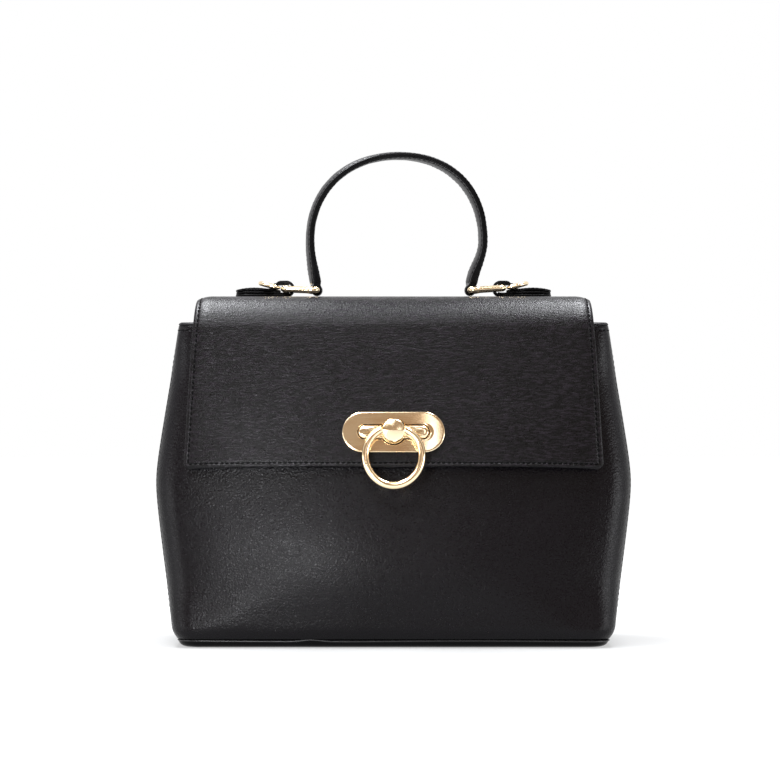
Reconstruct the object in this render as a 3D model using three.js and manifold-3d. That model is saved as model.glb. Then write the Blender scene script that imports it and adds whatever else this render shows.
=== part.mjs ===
// A structured top-handle bag: a soft tapered body, a rolled flap with a ring turn lock, and a strap
// handle carried by two wire rings. Millimetres, +Z up, front towards -Y, left and right as seen from
// the front, origin on the floor under the middle of the body.
import * as THREE from "three";
import { mergeVertices } from "three/addons/utils/BufferGeometryUtils.js";
import Module from "manifold-3d";

const wasm = await Module();
wasm.setup();

// Clearance left between pieces that touch
const GAP = 0.3;

// Body: panels that taper from the base to the rim and stand out at a soft waist
const BODY = {
  leather: 1.8,
  seamZ: 4.8,
  waistZ: 107,
  rimZ: 207.5,
  baseHalfWidth: 142,
  waistHalfWidth: 156.5,
  rimHalfWidth: 140,
  waistSoftness: 4,
  baseHalfDepth: 68,
  rimHalfDepth: 38,
  baseCorner: 14,
  rimCorner: 10,
  sideWrap: 8,
  bulge: 4,
  curl: 3,
  curlHeight: 9,
  gussetFold: 14,
};
const BASE = { leather: 1.8, wallTopZ: 14, flatInset: 7.5, boardLow: 2.1, boardHigh: 4.3, boardInset: 9 };
const FACING = { leather: 1.2, depth: 26 };
const LINING = { cloth: 0.8, inset: 5, upperInset: 3.9, overlap: 6, floorZ: 4.7 };

// Flap: sewn to the back, rolled over the top and hanging down the front
const FLAP = {
  leather: 1.6,
  lining: 1.0,
  topZ: 226.5,
  lowerZ: 115.8,
  slope: 0.188,
  frontRoll: 26,
  hingeHalfWidth: 124,
  lowerHalfWidth: 135.5,
  cornerRadius: 4,
  bow: 6,
  tailDrop: 36,
  tailHalfWidth: 118,
};

// Ring turn lock, in a frame on the outside of the flap: x across, y up the flap, z outwards
const LOCK = {
  z: 138,
  standoff: 8,
  plate: [66, 26.5],
  plateFace: 2.5,
  slot: [46.3, 9.7],
  slotEye: 8.4,
  bush: [45.3, 8.7],
  bushEye: 7.8,
  neckRadius: 4.2,
  shankRadius: 2.5,
  pivotHeight: 8.2,
  pinRadius: 1.2,
  ringRadius: 18.15,
  ringWire: 2.45,
  ringCut: 8.05,
  screwX: 28,
  backPlate: [64, 20],
  tongue: [17, 4],
  keeper: [44, 26],
  keeperPocket: [28, 21],
  keeperSlot: [20, 9.5],
  keeperSlotLift: 1.55,
  keeperScrewX: 18,
  keeperBackPlate: [46, 14],
};

// Handle: two strap leathers over a core, arched in one plane, ending in loops on the wire rings
const HANDLE = {
  y: -1.5,
  footX: 51.45,
  footZ: 236.2,
  footLean: 0.18,
  halfWidth: 57,
  widestZ: 264,
  topZ: 319.7,
  sway: 2,
  halfStrap: 7.5,
  edge: 1.45,
  crown: 1.2,
  hollow: 1.0,
  hollowHalf: 5.5,
  twist: THREE.MathUtils.degToRad(12),
};
const LOOP = { x: 50.5, z: 231, radius: 3.6, bore: 2.0, width: 12, tongue: [0.8, 5.6, 4] };
const WIRE_RING = { reach: 22, rise: 1.4, halfWidth: 8, wire: 1.5, corner: 2.6 };
const TAB = {
  endX: 104,
  lowZ: 226.8,
  highZ: 231.4,
  halfWidth: 7.5,
  neckHalf: 5.5,
  neckEndX: 78.5,
  eyeInner: 70.8,
  eyeOuter: 73.7,
  eyeZ: 232.2,
  eyeRadius: 3.3,
  leather: 1.7,
};
const D_RING = { x: 75.6, z: 232.6, halfWidth: 7.3, reach: 14.5, wire: 1.2, corner: 1.8, lean: 18 };

// Materials
const finish = (color, roughness, metalness) => new THREE.MeshStandardMaterial({ color, roughness, metalness });
const MATERIALS = {
  leather: finish(0x1b1a1c, 0.5, 0),
  cloth: finish(0x4a4038, 0.9, 0),
  board: finish(0x8a7a60, 0.9, 0),
  gold: finish(0xc89b5c, 0.25, 1),
};

const mix = THREE.MathUtils.lerp;
const clampShare = (t) => THREE.MathUtils.clamp(t, 0, 1);
const spaced = (from, to, steps) => Array.from({ length: steps + 1 }, (_, i) => mix(from, to, i / steps));
const vec = (x, y, z) => new THREE.Vector3(x, y, z);

// Points of an arc in a plane, from one angle to another
function arc(cx, cy, radius, from, to, steps) {
  return spaced(from, to, steps).map((a) => [cx + radius * Math.cos(a), cy + radius * Math.sin(a)]);
}

// A merged, outward facing, position-only copy of a closed geometry
function tidy(geometry) {
  const bare = geometry.clone();
  bare.deleteAttribute("normal");
  bare.deleteAttribute("uv");
  const merged = mergeVertices(bare, 1e-4);
  const at = (i) => new THREE.Vector3().fromBufferAttribute(merged.attributes.position, i);
  const index = merged.index.array;
  const faces = [];
  let volume = 0;
  for (let i = 0; i < index.length; i += 3) {
    const [a, b, c] = index.subarray(i, i + 3);
    if (a === b || b === c || c === a) continue;
    faces.push([a, b, c]);
    volume += at(a).dot(at(b).cross(at(c)));
  }
  merged.setIndex(faces.flatMap(([a, b, c]) => (volume < 0 ? [a, c, b] : [a, b, c])));
  return merged;
}

function meshFrom(points, faces) {
  const geometry = new THREE.BufferGeometry().setFromPoints(points);
  geometry.setIndex(faces.flat());
  return tidy(geometry);
}

// A thick sheet between two matching grids of points
function sheet(outerRows, innerRows) {
  const columns = outerRows[0].length;
  const lastRow = outerRows.length - 1;
  const lastColumn = columns - 1;
  const outer = (r, c) => r * columns + c;
  const inner = (r, c) => outerRows.length * columns + outer(r, c);
  const faces = [];
  const quad = (a, b, c, d) => faces.push([a, b, c], [a, c, d]);
  for (let r = 0; r < lastRow; r++) {
    for (let c = 0; c < lastColumn; c++) {
      quad(outer(r, c), outer(r, c + 1), outer(r + 1, c + 1), outer(r + 1, c));
      quad(inner(r, c), inner(r + 1, c), inner(r + 1, c + 1), inner(r, c + 1));
    }
    quad(outer(r, 0), outer(r + 1, 0), inner(r + 1, 0), inner(r, 0));
    quad(outer(r, lastColumn), inner(r, lastColumn), inner(r + 1, lastColumn), outer(r + 1, lastColumn));
  }
  for (let c = 0; c < lastColumn; c++) {
    quad(outer(0, c), inner(0, c), inner(0, c + 1), outer(0, c + 1));
    quad(outer(lastRow, c), outer(lastRow, c + 1), inner(lastRow, c + 1), inner(lastRow, c));
  }
  return meshFrom([...outerRows.flat(), ...innerRows.flat()], faces);
}

// A loft through closed rings of points, capped flat at its ends or joined end to end
function ringLoft(rings, endless = false) {
  const count = rings[0].length;
  const points = rings.flat();
  const faces = [];
  const at = (r, i) => (r % rings.length) * count + (i % count);
  const joins = endless ? rings.length : rings.length - 1;
  for (let r = 0; r < joins; r++) {
    for (let i = 0; i < count; i++) {
      faces.push([at(r, i), at(r, i + 1), at(r + 1, i + 1)], [at(r, i), at(r + 1, i + 1), at(r + 1, i)]);
    }
  }
  const cap = (r, forward) => {
    const centre = rings[r].reduce((sum, p) => sum.add(p), vec(0, 0, 0)).divideScalar(count);
    points.push(centre);
    for (let i = 0; i < count; i++) {
      const [a, b] = forward ? [at(r, i), at(r, i + 1)] : [at(r, i + 1), at(r, i)];
      faces.push([points.length - 1, a, b]);
    }
  };
  if (!endless) {
    cap(0, false);
    cap(rings.length - 1, true);
  }
  return meshFrom(points, faces);
}

// A round wire along a closed flat path
function wireLoop(path, radius, sides) {
  const rings = path.map(([x, y], i) => {
    const before = path[(i + path.length - 1) % path.length];
    const after = path[(i + 1) % path.length];
    const along = vec(after[0] - before[0], after[1] - before[1], 0).normalize();
    const across = vec(along.y, -along.x, 0);
    return Array.from({ length: sides }, (_, k) => {
      const a = (2 * Math.PI * k) / sides;
      return vec(x, y, radius * Math.sin(a)).addScaledVector(across, radius * Math.cos(a));
    });
  });
  return ringLoft(rings, true);
}

// Booleans
const solidOf = (geometry) => {
  const { position } = geometry.attributes;
  const triVerts = Uint32Array.from(geometry.index.array);
  const vertProperties = Float32Array.from(position.array);
  return new wasm.Manifold(new wasm.Mesh({ numProp: 3, vertProperties, triVerts }));
};
const geometryOf = (solid) => {
  const { vertProperties, triVerts } = solid.getMesh();
  const geometry = new THREE.BufferGeometry();
  geometry.setAttribute("position", new THREE.Float32BufferAttribute(vertProperties, 3));
  geometry.setIndex(Array.from(triVerts));
  return geometry;
};
const combine = (operation, first, others) =>
  geometryOf(others.reduce((body, other) => body[operation](solidOf(other)), solidOf(first)));
const cut = (first, ...others) => combine("subtract", first, others);
const join = (first, ...others) => combine("add", first, others);
const common = (first, ...others) => combine("intersect", first, others);

// Simple solids
function prism(shape, low, high, bevel = 0, curveSegments = 6) {
  const geometry = new THREE.ExtrudeGeometry(shape, {
    depth: high - low - 2 * bevel,
    bevelEnabled: bevel > 0,
    bevelThickness: bevel,
    bevelSize: bevel,
    bevelOffset: -bevel,
    bevelSegments: 1,
    curveSegments,
  });
  return tidy(geometry.translate(0, 0, low + bevel));
}

function rod(radius, low, high, x = 0, sides = 12) {
  const geometry = new THREE.CylinderGeometry(radius, radius, high - low, sides);
  return tidy(geometry.rotateX(Math.PI / 2).translate(x, 0, (low + high) / 2));
}

function crossRod(radius, from, to, y, z, sides = 12) {
  const geometry = new THREE.CylinderGeometry(radius, radius, to - from, sides);
  return tidy(geometry.rotateZ(Math.PI / 2).translate((from + to) / 2, y, z));
}

function turned(profile, sides) {
  const points = profile.map(([radius, height]) => new THREE.Vector2(radius, height));
  return tidy(new THREE.LatheGeometry(points, sides).rotateX(Math.PI / 2));
}

function roundedShape([width, height], radius) {
  const w = width / 2;
  const h = height / 2;
  return new THREE.Shape()
    .absarc(w - radius, radius - h, radius, -Math.PI / 2, 0)
    .absarc(w - radius, h - radius, radius, 0, Math.PI / 2)
    .absarc(radius - w, h - radius, radius, Math.PI / 2, Math.PI)
    .absarc(radius - w, radius - h, radius, Math.PI, 1.5 * Math.PI);
}

function stadium([width, height]) {
  const r = height / 2;
  const reach = width / 2 - r;
  return new THREE.Shape()
    .absarc(reach, 0, r, -Math.PI / 2, Math.PI / 2)
    .absarc(-reach, 0, r, Math.PI / 2, 1.5 * Math.PI);
}

// Body outline at a height
const heightShare = (z) => clampShare((z - BODY.seamZ) / (BODY.rimZ - BODY.seamZ));
const bulge = (z) => BODY.bulge * Math.sin(Math.PI * heightShare(z));
const cornerRadius = (z) => mix(BODY.baseCorner, BODY.rimCorner, heightShare(z));

function curlIn(z) {
  const share = clampShare((z - BODY.seamZ) / BODY.curlHeight);
  return BODY.curl * (1 - share) ** 2;
}

function halfWidth(z) {
  const below = (z - BODY.seamZ) / (BODY.waistZ - BODY.seamZ);
  const above = (BODY.rimZ - z) / (BODY.rimZ - BODY.waistZ);
  const lower = mix(BODY.baseHalfWidth, BODY.waistHalfWidth, below);
  const upper = mix(BODY.rimHalfWidth, BODY.waistHalfWidth, above);
  return (lower + upper - Math.hypot(lower - upper, BODY.waistSoftness)) / 2 - curlIn(z);
}

function halfDepth(z) {
  const share = (z - BODY.seamZ) / (BODY.rimZ - BODY.seamZ);
  return mix(BODY.baseHalfDepth, BODY.rimHalfDepth, share) - curlIn(z);
}

const sideSeam = (z) => halfDepth(z) - cornerRadius(z) - BODY.sideWrap;

const gussetFold = (z) => BODY.gussetFold * clampShare((z - BODY.waistZ) / (BODY.rimZ - BODY.waistZ));

// Front panel from its left seam to its right seam, set in from the outside by a depth
function panelSection(z, inset) {
  const w = halfWidth(z) - inset;
  const d = halfDepth(z) - inset;
  const r = cornerRadius(z) - inset;
  const left = [[-w, -sideSeam(z)], ...arc(r - w, r - d, r, Math.PI, 1.5 * Math.PI, 3)];
  const right = left.map(([x, y]) => [-x, y]).reverse();
  const middle = spaced(-1, 1, 8).slice(1, -1);
  return [...left, ...middle.map((u) => [u * (w - r), -d - bulge(z) * (1 - u * u)]), ...right];
}

// Right gusset from the front seam to the back seam
function gussetSection(z, inset, reach) {
  const w = halfWidth(z) - inset;
  const fold = gussetFold(z);
  return spaced(-1, 1, 6).map((u) => [w - (fold * (1 + Math.cos(Math.PI * u))) / 2, u * reach]);
}

// Whole outline, once round
function outline(z, inset) {
  const half = [...panelSection(z, inset), ...gussetSection(z, inset, sideSeam(z)).slice(1, -1)];
  return [...half, ...half.map(([x, y]) => [-x, -y])].map(([x, y]) => vec(x, y, z));
}
const outlineRing = (inset, z, shapeZ = Math.max(z, BODY.seamZ)) =>
  outline(shapeZ, inset).map((p) => vec(p.x, p.y, z));

const PANEL_LEVELS = [
  BODY.seamZ,
  BODY.seamZ + BODY.curlHeight / 3,
  ...spaced(BODY.seamZ + BODY.curlHeight, BODY.rimZ, 8),
];

function lofted(section, inset, turn) {
  return PANEL_LEVELS.map((z) => section(z, inset).map(([x, y]) => vec(turn * x, turn * y, z)));
}
const panelGeometry = (turn) => sheet(lofted(panelSection, 0, turn), lofted(panelSection, BODY.leather, turn));
function gussetGeometry(turn) {
  const section = (z, inset) => gussetSection(z, inset, sideSeam(z) - GAP);
  return sheet(lofted(section, 0, turn), lofted(section, BODY.leather, turn));
}

// Base: a leather tray whose wall stands inside the panels
function baseGeometry() {
  const wall = BODY.leather + GAP;
  const inner = wall + BASE.leather;
  const rings = [
    [BASE.flatInset, 0],
    [3.2, 0.7],
    [1.0, 2.4],
    [1.4, 4.3],
    [wall, 4.5],
    [wall, BASE.wallTopZ],
    [inner, BASE.wallTopZ],
    [inner, 4.5],
    [BASE.flatInset, BASE.leather],
  ];
  return ringLoft(rings.map(([inset, z]) => outlineRing(inset, z)));
}

function boardGeometry() {
  return ringLoft([outlineRing(BASE.boardInset, BASE.boardLow), outlineRing(BASE.boardInset, BASE.boardHigh)]);
}

// Facing: a leather band inside the rim, turned out over the edges of the panels
function facingGeometry() {
  const outer = BODY.leather + GAP;
  const inner = outer + FACING.leather;
  const top = BODY.rimZ + GAP + FACING.leather;
  const section = [
    [0, BODY.rimZ + GAP],
    [0, top],
    [inner, top],
    [inner, BODY.rimZ - FACING.depth],
    [outer, BODY.rimZ - FACING.depth],
    [outer, BODY.rimZ + GAP],
  ];
  return ringLoft(section.map(([inset, z]) => outlineRing(inset, z)), true);
}

function liningGeometry() {
  const topZ = BODY.rimZ - FACING.depth + LINING.overlap;
  const side = [
    [LINING.inset + 5, LINING.floorZ],
    [LINING.inset + 2, LINING.floorZ + 2.5],
    [LINING.inset, BASE.wallTopZ],
    ...spaced(95, 165, 1).map((z) => [LINING.inset, z]),
    [LINING.upperInset, topZ - 2],
    [LINING.upperInset, topZ],
  ];
  const outside = side.map(([inset, z]) => outlineRing(inset, z));
  const inside = side.map(([inset, z], i) => outlineRing(inset + LINING.cloth, i < 2 ? z + LINING.cloth : z));
  return ringLoft([...outside, ...inside.reverse()]);
}

// Flap profile from the hinge at the back, over the top and down the front
const FLAP_TILT = Math.atan(FLAP.slope);
const BACK_TILT = Math.atan((BODY.baseHalfDepth - BODY.rimHalfDepth) / (BODY.rimZ - BODY.seamZ));
const LOCK_Y = -halfDepth(LOCK.z) - bulge(LOCK.z) - LOCK.standoff / Math.cos(FLAP_TILT);

function flapRows() {
  const startY = BODY.rimHalfDepth + GAP + FLAP.leather;
  const startZ = BODY.rimZ + 0.8;
  const rearRoll = (FLAP.topZ - startZ) / (1 - Math.sin(BACK_TILT));
  const rearY = startY - rearRoll * Math.cos(BACK_TILT);
  const frontZ = FLAP.topZ - FLAP.frontRoll;
  const dropZ = frontZ + FLAP.frontRoll * Math.sin(FLAP_TILT);
  const dropY = LOCK_Y + FLAP.slope * (dropZ - LOCK.z);
  const frontY = dropY + FLAP.frontRoll * Math.cos(FLAP_TILT);
  const dropLength = (dropZ - FLAP.lowerZ) / Math.cos(FLAP_TILT);

  const onRoll = (y, z, radius, from, to, steps) =>
    spaced(from, to, steps).map((a) => ({
      y: y + radius * Math.cos(a),
      z: z + radius * Math.sin(a),
      ny: Math.cos(a),
      nz: Math.sin(a),
      drop: 0,
      trim: 0,
    }));
  const onDrop = (length, trim) => ({
    y: dropY - length * Math.sin(FLAP_TILT),
    z: dropZ - length * Math.cos(FLAP_TILT),
    ny: -Math.cos(FLAP_TILT),
    nz: Math.sin(FLAP_TILT),
    drop: length / dropLength,
    trim,
  });
  const r = FLAP.cornerRadius;
  const corner = spaced(0, Math.PI / 2, 3).map((a) => onDrop(dropLength - r + r * Math.sin(a), r * (1 - Math.cos(a))));
  const rows = [
    ...onRoll(rearY, FLAP.topZ - rearRoll, rearRoll, BACK_TILT, Math.PI / 2, 5),
    ...onRoll(frontY, frontZ, FLAP.frontRoll, Math.PI / 2, Math.PI - FLAP_TILT, 6),
    ...spaced(0, dropLength - r, 5).slice(1, -1).map((length) => onDrop(length, 0)),
    ...corner,
  ];
  let run = 0;
  const runs = rows.map((row, i) => (run += i ? Math.hypot(row.y - rows[i - 1].y, row.z - rows[i - 1].z) : 0));
  return rows.map((row, i) => ({
    ...row,
    half: mix(FLAP.hingeHalfWidth, FLAP.lowerHalfWidth, runs[i] / run) - row.trim,
  }));
}

function flapSheet(rows, outside, inside) {
  const layer = (depth) =>
    rows.map((row) =>
      spaced(-1, 1, 8).map((u) => {
        const shift = depth + FLAP.bow * u ** 4 * row.drop;
        return vec(u * row.half, row.y - row.ny * shift, row.z - row.nz * shift);
      }),
    );
  return sheet(layer(outside), layer(inside));
}

// Tail of the flap, sewn down on the back panel
function tailGeometry() {
  const layer = (depth) =>
    spaced(BODY.rimZ, BODY.rimZ - FLAP.tailDrop, 4).map((z, i) =>
      spaced(-1, 1, 8).map((u) => {
        const x = u * mix(FLAP.hingeHalfWidth, FLAP.tailHalfWidth, i / 4);
        const share = x / (halfWidth(z) - cornerRadius(z));
        return vec(x, halfDepth(z) + bulge(z) * (1 - share * share) + GAP + depth, z);
      }),
    );
  return sheet(layer(FLAP.leather), layer(0));
}

// Handle: lofted along an arch that leans slightly to the right and twists a little in its arms
function handlePath() {
  const { footX, footZ, footLean, halfWidth: half, widestZ, topZ, sway } = HANDLE;
  const span = 0.6;
  const rise = topZ - widestZ;
  const arm = (side) => {
    const x = side * half + sway;
    return {
      foot: vec(side * footX, 0, footZ),
      footPull: vec(side * (footX + 11 * footLean), 0, footZ + 11),
      widestPull: vec(x, 0, widestZ - 11),
      widest: vec(x, 0, widestZ),
      shoulder: vec(x, 0, widestZ + span * rise),
      crownPull: vec(side * span * half + 1.5 * sway, 0, topZ),
    };
  };
  const left = arm(-1);
  const right = arm(1);
  const top = vec(1.5 * sway, 0, topZ);
  const path = new THREE.CurvePath();
  path.add(new THREE.CubicBezierCurve3(left.foot, left.footPull, left.widestPull, left.widest));
  path.add(new THREE.CubicBezierCurve3(left.widest, left.shoulder, left.crownPull, top));
  path.add(new THREE.CubicBezierCurve3(top, right.crownPull, right.shoulder, right.widest));
  path.add(new THREE.CubicBezierCurve3(right.widest, right.widestPull, right.footPull, right.foot));
  return path;
}

function handleFrames(from, to, steps) {
  const path = handlePath();
  return spaced(from, to, steps).map((s) => {
    const along = path.getTangentAt(s);
    const turn = HANDLE.twist * Math.sin(2 * Math.PI * s);
    const out = vec(-along.z, 0, along.x).applyAxisAngle(along, turn);
    const across = vec(0, 1, 0).applyAxisAngle(along, turn);
    const centre = path.getPointAt(s).add(vec(0, HANDLE.y, 0));
    return (n, b) => centre.clone().addScaledVector(out, n).addScaledVector(across, b);
  });
}

const hollowAt = (b) => GAP / 2 + HANDLE.hollow * Math.max(0, 1 - (b / HANDLE.hollowHalf) ** 2);
const crownAt = (b) => HANDLE.edge + HANDLE.crown * (1 - (b / HANDLE.halfStrap) ** 2);

function strapGeometry(side) {
  const across = spaced(-HANDLE.halfStrap, HANDLE.halfStrap, 4);
  const frames = handleFrames(0, 1, 28);
  const layer = (height) => frames.map((place) => across.map((b) => place(side * height(b), b)));
  return sheet(layer(crownAt), layer(hollowAt));
}

function coreGeometry() {
  const lens = [
    [0, 4.4],
    [0.55, 2.2],
    [0.55, -2.2],
    [0, -4.4],
    [-0.55, -2.2],
    [-0.55, 2.2],
  ];
  return ringLoft(handleFrames(0.03, 0.97, 24).map((place) => lens.map(([n, b]) => place(n, b))));
}

// Pieces of one side of the handle, with x outwards from the middle and y from the plane of the handle
function handleLoopGeometry() {
  const lean = Math.atan(HANDLE.footLean);
  const [thick, wide, long] = LOOP.tongue;
  const gap = Math.hypot(HANDLE.footX - LOOP.x, HANDLE.footZ - LOOP.z);
  const barrel = (radius, width) => tidy(new THREE.CylinderGeometry(radius, radius, width, 18));
  const block = (x, y, z, height) => tidy(new THREE.BoxGeometry(x, y, z).translate(0, 0, height));
  const collar = block(4.4, LOOP.width, gap - GAP, (gap - GAP) / 2);
  const tongue = block(thick, wide, long + 2, gap + long / 2 - 1);
  const stem = join(collar, tongue).rotateY(lean);
  return cut(join(barrel(LOOP.radius, LOOP.width), stem), barrel(LOOP.bore, LOOP.width + 2));
}

function wireRingGeometry() {
  const { reach, halfWidth: h, corner: r, wire } = WIRE_RING;
  const path = [
    ...arc(r, r - h, r, Math.PI, 1.5 * Math.PI, 4),
    ...arc(reach - r, r - h, r, 1.5 * Math.PI, 2 * Math.PI, 4),
    ...arc(reach - r, h - r, r, 0, Math.PI / 2, 4),
    ...arc(r, h - r, r, Math.PI / 2, Math.PI, 4),
  ];
  return wireLoop(path, wire, 10);
}

function dRingGeometry() {
  const { halfWidth: h, reach, corner: r, wire } = D_RING;
  const path = [
    ...arc(r, r - h, r, Math.PI, 1.5 * Math.PI, 4),
    ...arc(reach - h, 0, h, -Math.PI / 2, Math.PI / 2, 12),
    ...arc(r, h - r, r, Math.PI / 2, Math.PI, 4),
  ];
  return wireLoop(path, wire, 8);
}

// Tab: a strap folded round the rings and sewn flat to the top of the flap, with a rounded end
function tabGeometry() {
  const { endX, lowZ, highZ, eyeInner, eyeOuter, eyeZ, eyeRadius, leather, neckHalf, neckEndX, halfWidth: h } = TAB;
  const loop = eyeRadius + leather;
  const side = new THREE.Shape()
    .moveTo(endX, lowZ)
    .lineTo(eyeOuter, lowZ)
    .absarc(eyeInner, eyeZ, loop, 1.5 * Math.PI, 0.5 * Math.PI, true)
    .lineTo(eyeOuter, eyeZ + loop)
    .bezierCurveTo(eyeOuter + 5, eyeZ + loop, neckEndX - 1, highZ, neckEndX + 4, highZ)
    .lineTo(endX - 2, highZ)
    .lineTo(endX, highZ - 1.2);
  const eye = new THREE.Path()
    .absarc(eyeInner, eyeZ, eyeRadius, 0.5 * Math.PI, 1.5 * Math.PI)
    .absarc(eyeOuter, eyeZ, eyeRadius, 1.5 * Math.PI, 2.5 * Math.PI);
  side.holes.push(eye);
  const plan = new THREE.Shape()
    .moveTo(eyeInner - 2 * loop, -neckHalf)
    .lineTo(neckEndX, -neckHalf)
    .lineTo(neckEndX + 4, -h)
    .absarc(endX - h, 0, h, -Math.PI / 2, Math.PI / 2)
    .lineTo(neckEndX + 4, h)
    .lineTo(neckEndX, neckHalf)
    .lineTo(eyeInner - 2 * loop, neckHalf);
  const strap = prism(side, -h - 1, h + 1).rotateX(Math.PI / 2);
  return common(strap, prism(plan, lowZ - 1, eyeZ + 2 * loop));
}

// Lock pieces in the frame of the lock
function lockPlateGeometry() {
  const plate = prism(stadium(LOCK.plate), GAP, LOCK.plateFace, 0.6, 12);
  const slot = prism(stadium(LOCK.slot), -1, 5, 0, 8);
  const screwHoles = [-1, 1].map((side) => rod(1.2, -1, 1.7, side * LOCK.screwX));
  return cut(plate, slot, rod(LOCK.slotEye, -1, 5, 0, 28), ...screwHoles);
}

function bushGeometry() {
  const bar = prism(stadium(LOCK.bush), GAP, 2.3, 0.5, 8);
  const eye = rod(LOCK.bushEye, GAP, 2.3, 0, 28);
  const neck = rod(LOCK.neckRadius, -FLAP.leather - FLAP.lining - 1, 1, 0, 16);
  return cut(join(bar, eye, neck), rod(LOCK.shankRadius + GAP, -9, 9));
}

function knobGeometry() {
  const shank = LOCK.shankRadius;
  const profile = [
    [0, 12.2],
    [3, 12],
    [5.6, 11.4],
    [6.9, 10.5],
    [7.3, 9.6],
    [7.3, 4.2],
    [6.8, 3.6],
    [shank, 3.6],
    [shank, -5.2],
    [1.5, -5.2],
    [1.5, -7.1],
    [2.2, -7.1],
    [2.2, -7.5],
    [0, -7.5],
  ];
  return cut(turned(profile, 24), crossRod(LOCK.pinRadius + GAP, -9, 9, 0, LOCK.pivotHeight));
}

function pullRingGeometry() {
  const drop = Math.sqrt(LOCK.ringRadius ** 2 - (LOCK.ringCut + 0.4) ** 2);
  const torus = new THREE.TorusGeometry(LOCK.ringRadius, LOCK.ringWire, 10, 40);
  const ring = tidy(torus.translate(0, -drop, LOCK.pivotHeight));
  const opening = tidy(new THREE.BoxGeometry(2 * LOCK.ringCut, 16, 16).translate(0, 0, LOCK.pivotHeight));
  const pin = (from, to) => crossRod(LOCK.pinRadius, from, to, 0, LOCK.pivotHeight);
  return join(cut(ring, opening), pin(4.4, 9.2), pin(-9.2, -4.4));
}

const washerGeometry = () => cut(rod(4.6, 2.6, 3.2), rod(LOCK.shankRadius + GAP, 2, 4));
const tongueGeometry = () => cut(prism(stadium(LOCK.tongue), -6.8, -5.5), rod(1.8, -9, 0));

function lockBackPlateGeometry() {
  const face = -FLAP.leather - FLAP.lining - 2 * GAP;
  const plate = prism(stadium(LOCK.backPlate), face - 0.6, face);
  const holes = [-1, 1].map((side) => rod(1.3, -9, 0, side * LOCK.screwX));
  return cut(plate, rod(LOCK.neckRadius + GAP, -9, 0), ...holes);
}

function keeperGeometry() {
  const [width, height] = LOCK.keeper;
  const dish = prism(roundedShape([width, height], 6), -7.5, -4.3);
  const pocket = prism(roundedShape(LOCK.keeperPocket, 4), -9, -5);
  const slot = prism(roundedShape(LOCK.keeperSlot, 3), -9, 0).translate(0, LOCK.keeperSlotLift, 0);
  const holes = [-1, 1].map((side) => rod(1.2, -9, -5.2, side * LOCK.keeperScrewX));
  return cut(dish, pocket, slot, ...holes);
}

function keeperBackPlateGeometry() {
  const plate = prism(stadium(LOCK.keeperBackPlate), -11, -10.3);
  return cut(plate, ...[-1, 1].map((side) => rod(1.2, -12, -9, side * LOCK.keeperScrewX)));
}

function screwGeometry(headLow, tip) {
  const profile = [
    [0, headLow],
    [1.9, headLow],
    [1.9, headLow + 0.9],
    [0.9, headLow + 0.9],
    [0.9, tip],
    [0, tip],
  ];
  return turned(profile, 12);
}

// Assembly
const bag = new THREE.Group();
const lockFrame = new THREE.Group();
lockFrame.position.set(0, LOCK_Y, LOCK.z);
lockFrame.rotation.x = Math.PI / 2 - FLAP_TILT;
lockFrame.updateMatrix();
bag.add(lockFrame);

function place(name, geometry, material, parent = bag) {
  const mesh = new THREE.Mesh(geometry, material.clone());
  mesh.name = name;
  parent.add(mesh);
  return mesh;
}
const inLockFrame = (geometry) => geometry.applyMatrix4(lockFrame.matrix);
const bothSides = (make) => [-1, 1].map(make);

// Body
const keeperScrewHoles = bothSides((side) => inLockFrame(rod(1.2, -12, -6, side * LOCK.keeperScrewX)));
place("front_panel", cut(panelGeometry(1), ...keeperScrewHoles), MATERIALS.leather);
place("back_panel", panelGeometry(-1), MATERIALS.leather);
place("right_gusset", gussetGeometry(1), MATERIALS.leather);
place("left_gusset", gussetGeometry(-1), MATERIALS.leather);
place("base_panel", baseGeometry(), MATERIALS.leather);
place("base_board", boardGeometry(), MATERIALS.board);
place("rim_facing", facingGeometry(), MATERIALS.leather);
place("lining", liningGeometry(), MATERIALS.cloth);
place("flap_tail", tailGeometry(), MATERIALS.leather);

// Flap with holes for the lock
const rows = flapRows();
const liningDepth = FLAP.leather + GAP;
const flapHoles = [
  inLockFrame(rod(LOCK.neckRadius + GAP, -6, 4)),
  ...bothSides((side) => inLockFrame(rod(1.3, -6, 4, side * LOCK.screwX))),
];
place("flap_outer", cut(flapSheet(rows, 0, FLAP.leather), ...flapHoles), MATERIALS.leather);
const liningSheet = flapSheet(rows.slice(1), liningDepth, liningDepth + FLAP.lining);
place("flap_lining", cut(liningSheet, ...flapHoles), MATERIALS.leather);

// Lock
place("lock_plate", lockPlateGeometry(), MATERIALS.gold, lockFrame);
place("lock_bush", bushGeometry(), MATERIALS.gold, lockFrame);
place("spring_washer", washerGeometry(), MATERIALS.gold, lockFrame);
place("turn_knob", knobGeometry(), MATERIALS.gold, lockFrame);
place("turn_tongue", tongueGeometry(), MATERIALS.gold, lockFrame);
place("pull_ring", pullRingGeometry(), MATERIALS.gold, lockFrame);
place("lock_back_plate", lockBackPlateGeometry(), MATERIALS.gold, lockFrame);
place("keeper", keeperGeometry(), MATERIALS.gold, lockFrame);
place("keeper_back_plate", keeperBackPlateGeometry(), MATERIALS.gold, lockFrame);

// Handle
place("handle_outer_strap", strapGeometry(1), MATERIALS.leather);
place("handle_inner_strap", strapGeometry(-1), MATERIALS.leather);
place("handle_core", coreGeometry(), MATERIALS.cloth);

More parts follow.
